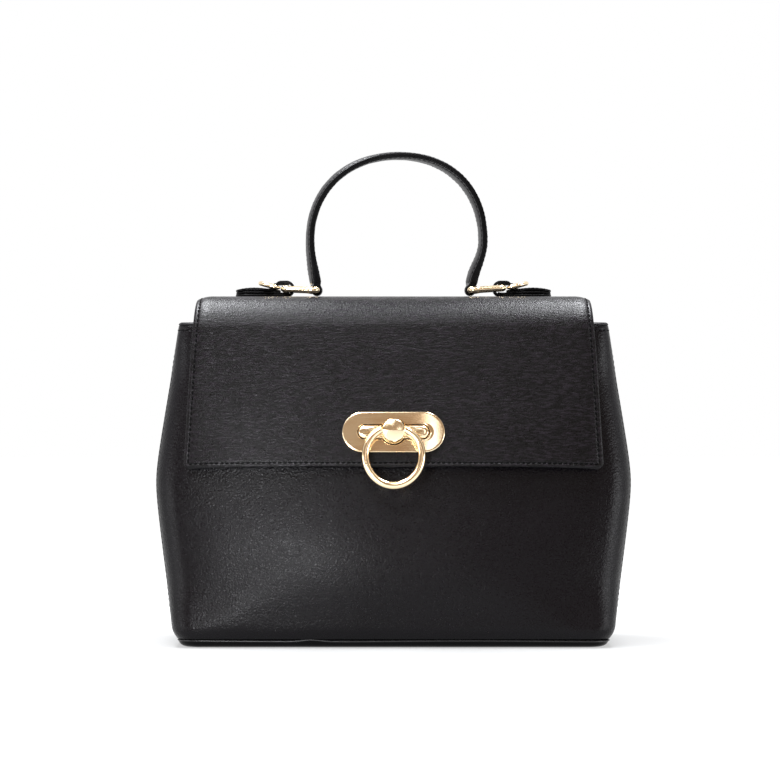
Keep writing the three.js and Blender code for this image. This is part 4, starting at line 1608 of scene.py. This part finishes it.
    def build(self) -> None:
        """Builds and dresses the lock."""
        for name, solid, finish, body, crisp in (
            ("lock_plate", self.plate_solid(), BRUSHED_GILT, "flap", 28),
            ("lock_bush", self.bush_solid(), BRIGHT_GILT, "flap", 35),
            ("turn_knob", self.knob_solid(), BRIGHT_GILT, "turn_knob", 28),
            ("pull_ring", self.ring_solid(), BRIGHT_GILT, "pull_ring", 40),
        ):
            add_piece(f"{name}_gilt", self.in_frame(solid), (finish,), body, [name], crisp)


@dataclass
class Handle:
    """Arched handle of two crowned straps, ending in loops on the wire rings."""

    y: float = -1.5
    foot_x: float = 51.45
    foot_z: float = 236.2
    foot_lean: float = 0.18
    foot_pull: float = 11.0
    half_width: float = 57.0
    widest_z: float = 264.0
    top_z: float = 319.7
    arch_span: float = 0.6
    sway: float = 2.0
    top_sway: float = 1.5
    half_strap: float = 7.5
    edge: float = 1.45
    crown: float = 1.2
    strap_half_leather: float = 0.55
    twist: float = 12.0
    foot_twist: float = 13.0
    foot_twist_share: float = 0.16
    foot_flare: float = 0.8
    foot_flare_share: float = 0.09
    foot_narrow: float = 0.12
    foot_narrow_share: float = 0.06
    sewn: float = 5.7
    groove: float = 0.2
    groove_half: float = 0.42
    ripple: float = 0.06
    ripple_length: float = 9.0
    ripple_span: float = 290.0
    ripple_seed: int = 31
    half_columns: Row = (7.1, 6.8, 6.4, 6.05, 5.7, 5.35, 5.0, 4.4, 3.2, 1.6)
    sewn_column: int = 4
    sewn_ends: int = 3
    thread: Stitching = Stitching(3.2, 2.2, 0.34)
    steps: int = 150
    bead: Pair = (7.0, 0.55)
    bead_back: Pair = (0.6, 5.8)
    bead_lift: float = 0.05
    loop_x: float = 50.5
    loop_z: float = 231.0
    loop_radius: float = 3.6
    loop_bore: float = 2.05
    loop_half: float = 6.2
    loop_points: int = 72
    loop_twist: Pair = (1.2, 4.0)
    neck_half: float = 2.5
    neck_top: float = 6.8
    neck_blend: int = 9

    def path(self) -> Points:
        """Middle line of the handle.

        Returns:
            Points from the left foot over the top to the right foot.
        """
        span, rise, pull = self.arch_span, self.top_z - self.widest_z, self.foot_pull
        top = (self.top_sway * self.sway, self.top_z)
        arms = []
        for side in (-1, 1):
            x = side * self.half_width + self.sway
            foot = (side * self.foot_x, self.foot_z)
            up = (side * (self.foot_x + pull * self.foot_lean), self.foot_z + pull)
            lower = bezier(foot, up, (x, self.widest_z - pull), (x, self.widest_z), 60)
            crown = (side * span * self.half_width + top[0], self.top_z)
            upper = bezier((x, self.widest_z), (x, self.widest_z + span * rise), crown, top, 120)
            arms.append(np.concatenate([lower, upper[1:]]))
        flat = np.concatenate([arms[0], arms[1][::-1][1:]])
        return points_of(flat[:, 0], self.y, flat[:, 1])

    def shares(self) -> Points:
        """Share of the way along the handle at each step."""
        return np.linspace(0, 1, self.steps + 1)

    def frames(self) -> tuple[Points, Points, Points]:
        """Places and directions along the handle.

        Returns:
            Middles, outward directions and sideways directions at each step.
        """
        path, share = self.path(), self.shares()
        total = run_lengths(path)[-1]
        spots = share * total
        ahead, behind = (resampled(path, np.clip(spots + gap, 0, total)) for gap in (0.5, -0.5))
        along = unit(ahead - behind)
        out = points_of(-along[:, 2], 0.0, along[:, 0])
        feet = smooth((1 - share) / self.foot_twist_share) - smooth(share / self.foot_twist_share)
        turn = np.radians(self.twist * np.sin(2 * np.pi * share) + self.foot_twist * feet)[:, None]
        side = np.array([0.0, 1.0, 0.0])
        outwards = out * np.cos(turn) + np.cross(along, out) * np.sin(turn)
        return resampled(path, spots), outwards, side * np.cos(turn) + np.cross(along, side) * np.sin(turn)

    def at_feet(self, reach: float) -> Points:
        """Nearness to a foot at each step, from 1 there to 0 at a share of the way along."""
        share = self.shares()
        return 1 - smooth(np.minimum(share, 1 - share) / reach)

    def flare(self) -> Points:
        """How the straps part towards the loops."""
        return self.foot_flare * self.at_feet(self.foot_flare_share)

    def width_share(self) -> Points:
        """How the strap narrows towards its feet."""
        return 1 - self.foot_narrow * self.at_feet(self.foot_narrow_share)

    def strap(self, face: int) -> tuple[Solid, list[Solid]]:
        """Outer or inner strap, and its stitches.

        Args:
            face: 1 for the outer strap, -1 for the inner one.

        Returns:
            The strap and two rows of stitches.
        """
        middle, out, side = self.frames()
        right = np.array(self.half_columns)
        b = np.concatenate([-right, [0.0], right[::-1]])
        height = self.edge + self.crown * (1 - (b / self.half_strap) ** 2)
        along = np.linspace(0, self.ripple_span, self.steps + 1)[:, None]
        ripple = self.ripple * waves(along, b[None, :], self.ripple_length, self.ripple_seed + face)
        height = height[None, :] + self.flare()[:, None] + ripple
        across = self.width_share()[:, None] * b
        grid = middle[:, None] + face * out[:, None] * height[..., None] + side[:, None] * across[..., None]
        dent = np.exp(-(((np.abs(b) - self.sewn) / self.groove_half) ** 2))
        relief = -self.groove * dent * np.ones((self.steps + 1, 1))
        solid = rounded_sheet(grid, self.strap_half_leather, flip=face > 0, relief=relief)
        sewn = slice(self.sewn_ends, -self.sewn_ends)
        normal = face * out[sewn]
        rows = [grid[sewn, k] - self.groove * normal for k in (self.sewn_column, -1 - self.sewn_column)]
        return solid, [self.thread.along(row, normal) for row in rows]

    def edges(self) -> Solid:
        """Painted edges that close the two straps together.

        Returns:
            The beads at both sides.
        """
        middle, out, side = self.frames()
        wide = self.width_share()[:, None, None]
        n = (self.edge + self.bead_lift + self.flare())[:, None, None]
        a = np.radians(np.linspace(-90, 90, 9))
        (place, half), (back_n, back) = self.bead, self.bead_back
        bead = np.stack([np.sin(a), place + half * np.cos(a)], -1)
        section = np.concatenate([bead, [[back_n, back], [-back_n, back]]])
        outwards = middle[:, None] + out[:, None] * section[None, :, :1] * n
        return Solid.together(
            loft(outwards + s * side[:, None] * section[None, :, 1:] * wide) for s in (-1, 1)
        )

    def loop(self) -> Solid:
        """Right loop: leather wrapped round the bar of the wire ring, with its neck between the straps.

        Returns:
            The loop; its cut edges have paint 1.
        """
        angle = np.linspace(0, 2 * np.pi, self.loop_points, endpoint=False)
        c, s = np.cos(angle), np.sin(angle)
        neck = np.minimum(self.neck_half / np.maximum(np.abs(c), 1e-3), self.neck_top / np.maximum(s, 1e-3))
        power = self.neck_blend
        outer = (self.loop_radius**power + np.where(s > 0, neck, 0.0) ** power) ** (1 / power)
        hole, h = np.full(self.loop_points, self.loop_bore), self.loop_half
        half = [
            (hole, 0.0, 0), (hole, h - 0.5, 0), (hole + 0.2, h - 0.12, 1), (hole + 0.5, h, 1),
            (outer - 0.6, h, 1), (outer - 0.2, h - 0.15, 0), (outer, h - 0.6, 0),
            (outer + 0.12, h - 2.5, 0), (outer + 0.16, 0.0, 0),
        ]
        section = half[:-1] + [(reach, -y, paint) for reach, y, paint in half[:0:-1]]
        reach = np.array([r for r, _, _ in section])
        x, z = reach * c, reach * s
        y = np.array([[y] for _, y, _ in section]) * np.ones(self.loop_points)
        turn = math.radians(self.foot_twist) * smooth((z - self.loop_twist[0]) / self.loop_twist[1])
        x, y = x * np.cos(turn) - y * np.sin(turn), x * np.sin(turn) + y * np.cos(turn)
        lean = math.atan(self.foot_lean)
        across, up = x * math.cos(lean) + z * math.sin(lean), z * math.cos(lean) - x * math.sin(lean)
        made = loft(points_of(self.loop_x + across, self.y + y, self.loop_z + up), endless=True)
        made.paints = np.repeat([paint for _, _, paint in section], self.loop_points).tolist()
        return made

    def build(self) -> None:
        """Builds and dresses the handle."""
        sewing, finishes = [], (STRAP_LEATHER, EDGE_PAINT)
        for name, face in (("handle_outer_strap", 1), ("handle_inner_strap", -1)):
            solid, rows = self.strap(face)
            sewing += rows
            add_piece(f"{name}_leather", solid, finishes, "handle", [name])
        add_piece("handle_painted_edges", self.edges(), (EDGE_PAINT,), "handle")
        add_piece("handle_stitching", Solid.together(sewing), (THREAD,), "handle")
        right = self.loop()
        for name, solid in (("right_handle_loop", right), ("left_handle_loop", right.turned(self.y))):
            add_piece(f"{name}_leather", solid, finishes, "handle", [name])


class Side(Enum):
    """Side of the bag as seen from the front."""

    LEFT = "left"
    RIGHT = "right"


@dataclass
class RingFittings:
    """Wire rings, strap rings and the tabs that hold them on the flap."""

    y: float = -1.5
    ring_x: float = 50.5
    ring_z: float = 231.0
    ring_reach: float = 22.0
    ring_rise: Pair = (0.8, 1.5)
    ring_half: float = 8.0
    ring_wire: float = 2.0
    ring_knuckle: float = 2.4
    ring_knuckle_run: Pair = (2.4, 2.6)
    ring_loop_wire: float = 1.9
    ring_end_wire: float = 1.35
    ring_end_run: Pair = (1.6, 1.2)
    ring_corner: float = 2.6
    ring_step: float = 0.6
    d_x: float = 75.6
    d_z: float = 232.6
    d_half: float = 7.3
    d_reach: float = 12.4
    d_wire: float = 1.55
    d_bar_wire: float = 1.02
    d_bar_run: Pair = (0.3, 2.5)
    d_corner: float = 1.8
    d_lean: float = 14.0
    d_step: float = 0.7
    tab_end: float = 104.0
    tab_low: float = 226.6
    tab_high: float = 231.4
    tab_half: float = 7.5
    tab_rounding: Pair = (7.0, 7.6)
    neck_half: float = 5.5
    neck_end: float = 78.5
    neck_run: Pair = (1.5, 7.0)
    neck_join: Pair = (5.0, 0.6)
    neck_pull: Place = (5.0, 2.0, 0.2)
    crest_pull: Pair = (12.0, 7.0)
    tip_drop: float = 0.5
    eye_inner: float = 70.3
    eye_outer: float = 73.7
    eye_z: float = 232.2
    eye_radius: float = 3.3
    eye_lining: float = 1.2
    eye_lining_inset: float = 0.2
    eye_lining_turns: tuple[int, int] = (6, 5)
    eye_lining_rows: int = 7
    tab_leather: float = 1.7
    tab_crown: float = 1.1
    tab_crest: float = 1.4
    tab_fullness: float = 0.35
    strap_crown: float = 0.22
    strap_columns: int = 21
    filler_lip: Profile = ((-1.2, 0.6), (0.0, 0.25), (1.0, 0.1), (1.6, 0.0))
    filler_square: float = 0.4
    filler_inset: float = 0.3
    filler_points: int = 36
    sewn_inset: float = 2.3
    sewn_sink: float = 0.05
    sewn_ends: Pair = (7.0, 2.4)
    sewn_points: int = 40
    thread: Stitching = Stitching(2.6, 1.8, 0.28)

    def set_up(self, solid: Solid, x: float, z: float, lean: float) -> Solid:
        """A flat wire in its place on the right side.

        Args:
            solid: The wire, lying flat.
            x: Where its start goes, across the bag.
            z: Where its start goes, up the bag.
            lean: Angle in radians by which it leans up.

        Returns:
            The wire in the bag's frame.
        """
        c, s = math.cos(lean), math.sin(lean)
        p, q, r = solid.points.T
        return solid.over(points_of(x + p * c - r * s, self.y + q, z + p * s + r * c))

    def even(self, corners: Sequence[Points], step: float) -> Points:
        """Evenly spaced points round a closed flat outline.

        Args:
            corners: Runs of points at the outline's corners, in order.
            step: Distance between points.

        Returns:
            The points, lying flat.
        """
        path = np.concatenate([*corners, corners[0][:1]])
        total = run_lengths(path)[-1]
        flat = resampled(path, np.linspace(0, total, int(total / step), endpoint=False))
        return points_of(flat[:, 0], flat[:, 1], 0.0)

    def wire_ring(self, rise: float) -> Solid:
        """Right wire ring, thick in its sides and thicker at the corners beside the loop.

        Args:
            rise: How much higher its outer end lies.

        Returns:
            The ring.
        """
        reach, h, r = self.ring_reach, self.ring_half, self.ring_corner
        corners = [
            arc(r, r - h, r, 180, 270, 10),
            arc(reach - r, r - h, r, 270, 360, 10),
            arc(reach - r, h - r, r, 0, 90, 10),
            arc(r, h - r, r, 90, 180, 10),
        ]
        path = self.even(corners, self.ring_step)
        near = np.min([np.hypot(path[:, 0] - r, path[:, 1] - y) for y in (r - h, h - r)], axis=0)
        start, run = self.ring_knuckle_run
        radii = mix(self.ring_knuckle, self.ring_wire, smooth((near - start) / run))
        start, run = self.ring_end_run
        in_loop = smooth((h - start - np.abs(path[:, 1])) / run)
        ends = np.where(path[:, 0] < reach / 2, self.ring_loop_wire, self.ring_end_wire)
        wire = tube(path, mix(radii, ends, in_loop), (0, 0, 1))
        return self.set_up(wire, self.ring_x, self.ring_z, math.asin(rise / reach))

    def d_ring(self) -> Solid:
        """Right strap ring, shaped like a D, with a thinner bar in the eye of the tab.

        Returns:
            The ring.
        """
        h, reach, r = self.d_half, self.d_reach, self.d_corner
        corners = [
            arc(r, r - h, r, 180, 270, 8),
            arc(reach - h, 0, h, -90, 90, 40),
            arc(r, h - r, r, 90, 180, 8),
        ]
        path = self.even(corners, self.d_step)
        start, run = self.d_bar_run
        radii = mix(self.d_bar_wire, self.d_wire, smooth((path[:, 0] - start) / run))
        return self.set_up(tube(path, radii, (0, 0, 1), 18), self.d_x, self.d_z, math.radians(self.d_lean))

    def tab_half_at(self, x: Points, edge: float) -> Points:
        """Half the width of a tab along its length, narrow at the eye and round at its end.

        Args:
            x: Positions along the tab.
            edge: Width left off at each side.

        Returns:
            Half widths at those positions.
        """
        radius = self.tab_half - edge
        start, run = self.neck_run
        body = mix(self.neck_half, self.tab_half, smooth((x - self.neck_end - start) / run)) - edge
        over = np.clip(x - (self.tab_end - self.tab_half), 0, radius - 0.02)
        return np.minimum(body, np.sqrt(radius**2 - over**2))

    def strap(self, path: Points, leather: float, inset: float = 0.0) -> Solid:
        """A strap of tab leather.

        Args:
            path: Run of its outer face in x and z.
            leather: Its thickness.
            inset: Width left off at each side.

        Returns:
            The strap.
        """
        half = self.tab_half_at(path[:, 0], self.tab_fullness * leather / 2 + inset)
        y = half[:, None] * np.sin(np.linspace(-np.pi / 2, np.pi / 2, self.strap_columns))
        crown = self.strap_crown * (1 - (y / self.tab_half) ** 2)
        grid = points_of(path[:, :1], self.y + y, path[:, 1:])
        return rounded_sheet(grid, leather / 2, flip=True, relief=crown, fullness=self.tab_fullness)

    def eye_turn(self, radius: float) -> Points:
        """Fold round the eye, from below to above.

        Args:
            radius: Radius of the fold.

        Returns:
            Its points in x and z.
        """
        turn = arc(self.eye_inner, self.eye_z, radius, 270, 90, 30)
        drop = self.tab_low - (self.eye_z - self.eye_radius - self.tab_leather)
        return turn + np.linspace(drop, 0, len(turn))[:, None] * [0, 1]

    def round_end(self) -> tuple[float, Points]:
        """Where the straight of a tab ends and the rows of its round end.

        Returns:
            The end of the straight, and positions from there to the tip.
        """
        far = self.tab_end - self.tab_fullness * self.tab_leather / 2
        reach, straight = self.tab_rounding
        return far - straight, far - reach * (1 - np.cos(np.linspace(np.pi / 2, 0, 12)))

    def upper_run(self) -> tuple[Points, Points]:
        """Outer face of a tab above its eye.

        Returns:
            Its run in x and z from the eye to the tip, and the ridge behind the neck that it follows.
        """
        top_z = self.eye_z + self.eye_radius + self.tab_leather
        join = (self.neck_end + self.neck_join[0], self.tab_high + self.neck_join[1])
        from_eye, to_join, above = self.neck_pull
        leave, arrive = (self.eye_outer + from_eye, top_z), (self.neck_end - to_join, join[1] - above)
        fall = bezier((self.eye_outer, top_z), leave, arrive, join, 18)
        crest = self.tab_high + self.tab_crest * self.tab_crown
        from_neck, to_tip = self.crest_pull
        leave, arrive = (self.neck_end + from_neck, crest), (self.tab_end - to_tip, crest)
        ridge = bezier(join, leave, arrive, (self.tab_end, self.tab_high - self.tip_drop), 40)
        straight, tip = self.round_end()
        back = np.concatenate([np.linspace(join[0] + 1, straight, 10), tip])
        top = np.column_stack([back, np.interp(back, ridge[:, 0], ridge[:, 1])])
        return np.concatenate([fall[1:], top]), ridge

    def eye_filling(self) -> Solid:
        """Leather that lines the fold below and above the rings.

        Returns:
            The two bends.
        """
        inner, rows = self.eye_turn(self.eye_radius), self.eye_lining_rows
        x = np.linspace(self.neck_end, self.eye_inner, rows)[:-1]
        below, above = (np.column_stack([x, np.full(rows - 1, z)]) for z in inner[[0, -1], 1])
        first, last = self.eye_lining_turns
        bends = (np.concatenate([below, inner[:first]]), np.concatenate([inner[-last:], above[::-1]]))
        return Solid.together(self.strap(bend, self.eye_lining, self.eye_lining_inset) for bend in bends)

    def filler(self, upper: Points) -> Solid:
        """Core between the two layers of a tab.

        Args:
            upper: Run of the tab's upper face in x and z.

        Returns:
            The core, all of paint 1.
        """
        leather, (straight, tip) = self.tab_leather, self.round_end()
        step = np.gradient(upper, axis=0)
        under = upper + leather * unit(np.stack([step[:, 1], -step[:, 0]], -1))
        lip, sink = np.array(self.filler_lip).T
        x = np.concatenate([self.d_x + lip, np.linspace(self.neck_end - 1.0, straight, 16), tip])
        roof, bed = np.interp(x, under[:, 0], under[:, 1]), self.tab_low + leather
        roof[: len(lip)] = self.d_z - self.d_bar_wire - sink
        a = np.linspace(0, 2 * np.pi, self.filler_points, endpoint=False)
        across, up = (np.sign(v) * np.abs(v) ** self.filler_square for v in (np.cos(a), np.sin(a)))
        y = self.y + self.tab_half_at(x, self.filler_inset)[:, None] * across
        z = (roof + bed)[:, None] / 2 + (roof - bed)[:, None] / 2 * up
        made = loft(points_of(x[:, None], y, z))
        made.paints = [1] * len(made.faces)
        return made

    def tab(self) -> tuple[Solid, Solid]:
        """Right tab: a strap folded round the rings over a filler.

        Returns:
            The tab and its stitches.
        """
        leather, (straight, tip) = self.tab_leather, self.round_end()
        upper, ridge = self.upper_run()
        low = np.concatenate([np.linspace(self.eye_outer, straight, 14), tip])[::-1]
        turn = self.eye_turn(self.eye_radius + leather)[1:]
        lower = np.column_stack([low, np.full(len(low), self.tab_low)])
        folded = self.strap(np.concatenate([lower, turn, upper]), leather)
        start, short = self.sewn_ends
        x = np.linspace(self.neck_end + start, tip[-1] - short, self.sewn_points)
        half = self.tab_half_at(x, self.sewn_inset)
        z = np.interp(x, ridge[:, 0], ridge[:, 1]) - self.sewn_sink
        there, back = (points_of(x, self.y + side * half, z) for side in (-1, 1))
        path = np.concatenate([there, back[::-1]])
        sewing = self.thread.along(path, np.tile([0.0, 0.0, 1.0], (len(path), 1)))
        return Solid.together([folded, self.eye_filling(), self.filler(upper)]), sewing

    def build(self) -> None:
        """Builds and dresses the fittings of both sides."""
        d_ring = self.d_ring()
        tab, sewing = self.tab()
        for side, rise in zip(Side, self.ring_rise):
            ring, name = self.wire_ring(rise), side.value
            solids = (ring, d_ring, tab, sewing)
            if side is Side.LEFT:
                solids = tuple(solid.turned(self.y) for solid in solids)
            for kind, solid in zip(("handle_ring", "d_ring"), solids):
                node = f"{name}_{kind}"
                add_piece(f"{node}_gilt", solid, (BRIGHT_GILT,), node, [node])
            finishes = (STRAP_LEATHER, EDGE_PAINT)
            add_piece(f"{name}_tab_leather", solids[2], finishes, "flap", [f"{name}_tab"])
            add_piece(f"{name}_tab_stitching", solids[3], (THREAD,), "flap")


# Studio


@dataclass(frozen=True)
class Softbox:
    """One rectangular lamp that looks at a point."""

    name: str
    place: Place
    aim: Place
    size: Pair
    radiance: float
    colour: Place = (0.95, 0.97, 1.0)

    def build(self) -> None:
        """Adds the lamp."""
        lamp = bpy.data.lights.new(self.name, "AREA")
        lamp.shape = "RECTANGLE"
        lamp.size, lamp.size_y = self.size
        lamp.energy = self.radiance * math.pi * self.size[0] * self.size[1]
        lamp.color = self.colour
        made = bpy.data.objects.new(self.name, lamp)
        made.location = self.place
        way = Vector(self.aim) - Vector(self.place)
        made.rotation_euler = way.to_track_quat("-Z", "Y").to_euler()
        made.visible_camera = False
        bpy.context.scene.collection.objects.link(made)


@dataclass
class Studio:
    """White floor and surround, soft lamps and the camera."""

    camera_place: Place = (-0.0023, -2.2, 0.1653)
    lens: float = 153.8
    sensor: float = 36.0
    clip: Pair = (0.05, 100.0)
    floor_half: float = 6.0
    floor_drop: float = 0.0003
    # Glow of the floor near the bag, painted dimmer there as shade round the bag; it rises to white between
    # the floor_glow distances from the middle, in millimetres.
    floor_near: float = 0.50
    floor_white: float = 0.18
    floor_glow: Pair = (110.0, 300.0)
    floor_grain: float = 0.97
    ambient: float = 0.19
    opening: Colour = (0.39, 0.29, 0.21, 1.0)
    opening_front: Pair = (0.0, 0.4)
    opening_top: Pair = (0.72, 0.9)
    softboxes: tuple[Softbox, ...] = (
        Softbox("upper_left_softbox", (-0.24, 0.0, 0.80), (-0.14, 0.0, 0.22), (0.6, 0.18), 36.0),
        Softbox("upper_right_softbox", (0.24, 0.0, 0.80), (0.14, 0.0, 0.22), (0.6, 0.18), 33.0),
        Softbox("front_upper_softbox", (-0.30, -0.48, 0.74), (-0.06, -0.04, 0.21), (0.7, 0.30), 8.5),
        Softbox("left_softbox", (-0.130, -0.40, 0.128), (-0.070, -0.07, 0.075), (0.09, 0.11), 21.5),
        Softbox("right_card", (0.263, -1.53, 0.71), (0.02, -0.06, 0.14), (0.14, 0.40), 3.0),
        Softbox("far_left_softbox", (-0.85, -0.40, 0.16), (-0.15, 0.0, 0.08), (0.5, 0.3), 3.4),
        Softbox("far_right_softbox", (0.85, -0.40, 0.16), (0.15, 0.0, 0.08), (0.5, 0.3), 5.6),
    )

    def camera(self) -> None:
        """Adds the camera, level and square to the front."""
        data = bpy.data.cameras.new("camera")
        data.lens, data.sensor_width = self.lens, self.sensor
        data.clip_start, data.clip_end = self.clip
        made = bpy.data.objects.new("camera", data)
        made.location = self.camera_place
        made.rotation_euler = (math.pi / 2, 0.0, 0.0)
        bpy.context.scene.collection.objects.link(made)
        bpy.context.scene.camera = made

    def world(self) -> None:
        """Sets a white surround with a dim opening in front, where the camera stands."""
        world = bpy.data.worlds.new("studio")
        world.use_nodes = True
        bpy.context.scene.world = world
        board = NodeBoard(world.node_tree)
        way = board.node("ShaderNodeTexCoord", output="Generated")
        back, up = (board.node("ShaderNodeSeparateXYZ", None, {0: way}, axis) for axis in ("Y", "Z"))
        dim = board.ease(0.0 - back, *self.opening_front) * (1.0 - board.ease(up, *self.opening_top))
        seen, glossy, through = (
            board.node("ShaderNodeLightPath", output=f"Is {kind} Ray")
            for kind in ("Camera", "Glossy", "Transmission")
        )
        colour = board.tint(dim * (1.0 - seen), grey(1.0), self.opening)
        strength = seen | (glossy | through) | self.ambient
        light = board.node("ShaderNodeBackground", None, {"Color": colour, "Strength": strength})
        board.end("ShaderNodeOutputWorld", light)

    def floor(self) -> None:
        """Adds a white floor that keeps the bag's shadow; its glow is painted dimmer near the bag, as a
        painted shade round it.
        """
        h = self.floor_half
        mesh = bpy.data.meshes.new("floor")
        mesh.from_pydata([(-h, -h, 0), (h, -h, 0), (h, h, 0), (-h, h, 0)], [], [(0, 1, 2, 3)])
        material = bpy.data.materials.new("white_floor")
        material.use_nodes = True
        board = NodeBoard(material.node_tree)
        place = board.place()
        grain = board.noise(place, 0.01)
        away = board.node("ShaderNodeVectorMath", {"operation": "LENGTH"}, {0: place}, "Value")
        far = board.ease(away, *self.floor_glow)
        white = self.floor_white
        board.surface(
            {
                "Base Color": board.tint(grain, grey(white), grey(white * self.floor_grain)),
                "Roughness": 0.9,
                "Specular IOR Level": 0.0,
                # Painted glow: dimmer near the bag as painted shade, white further off.
                "Emission Color": board.tint(far, grey(self.floor_near), grey(1.0)),
                "Emission Strength": 1.0,
            }
        )
        mesh.materials.append(material)
        made = bpy.data.objects.new("floor", mesh)
        made.location.z = -self.floor_drop
        bpy.context.scene.collection.objects.link(made)

    def build(self) -> None:
        """Builds the studio."""
        bpy.context.scene.view_settings.view_transform = "Standard"
        self.camera()
        self.world()
        self.floor()
        for softbox in self.softboxes:
            softbox.build()


def dress_carried_solids() -> None:
    """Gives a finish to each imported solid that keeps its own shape."""
    finishes = {
        "base_board": STIFF_BOARD,
        "handle_core": LINING_CLOTH,
        "keeper": BRUSHED_GILT,
        "keeper_back_plate": BRIGHT_GILT,
        "lock_back_plate": BRIGHT_GILT,
        "spring_washer": BRIGHT_GILT,
        "turn_tongue": BRIGHT_GILT,
    }
    for side in Side:
        finishes |= {f"{side.value}_{kind}_screw": BRIGHT_GILT for kind in ("lock", "keeper")}
    for name, finish in finishes.items():
        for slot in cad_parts[name].material_slots:
            slot.material = finish.material()
        LOG.info("%s: packed solid, %s", name, finish.name)


def main() -> None:
    """Builds the bag and its studio in order."""
    logging.basicConfig(level=logging.INFO, format="%(message)s")
    body = Body()
    Studio().build()
    body.build()
    Flap().build(body)
    TurnLock().build()
    Handle().build()
    RingFittings().build()
    dress_carried_solids()


if __name__ == "__main__":
    main()
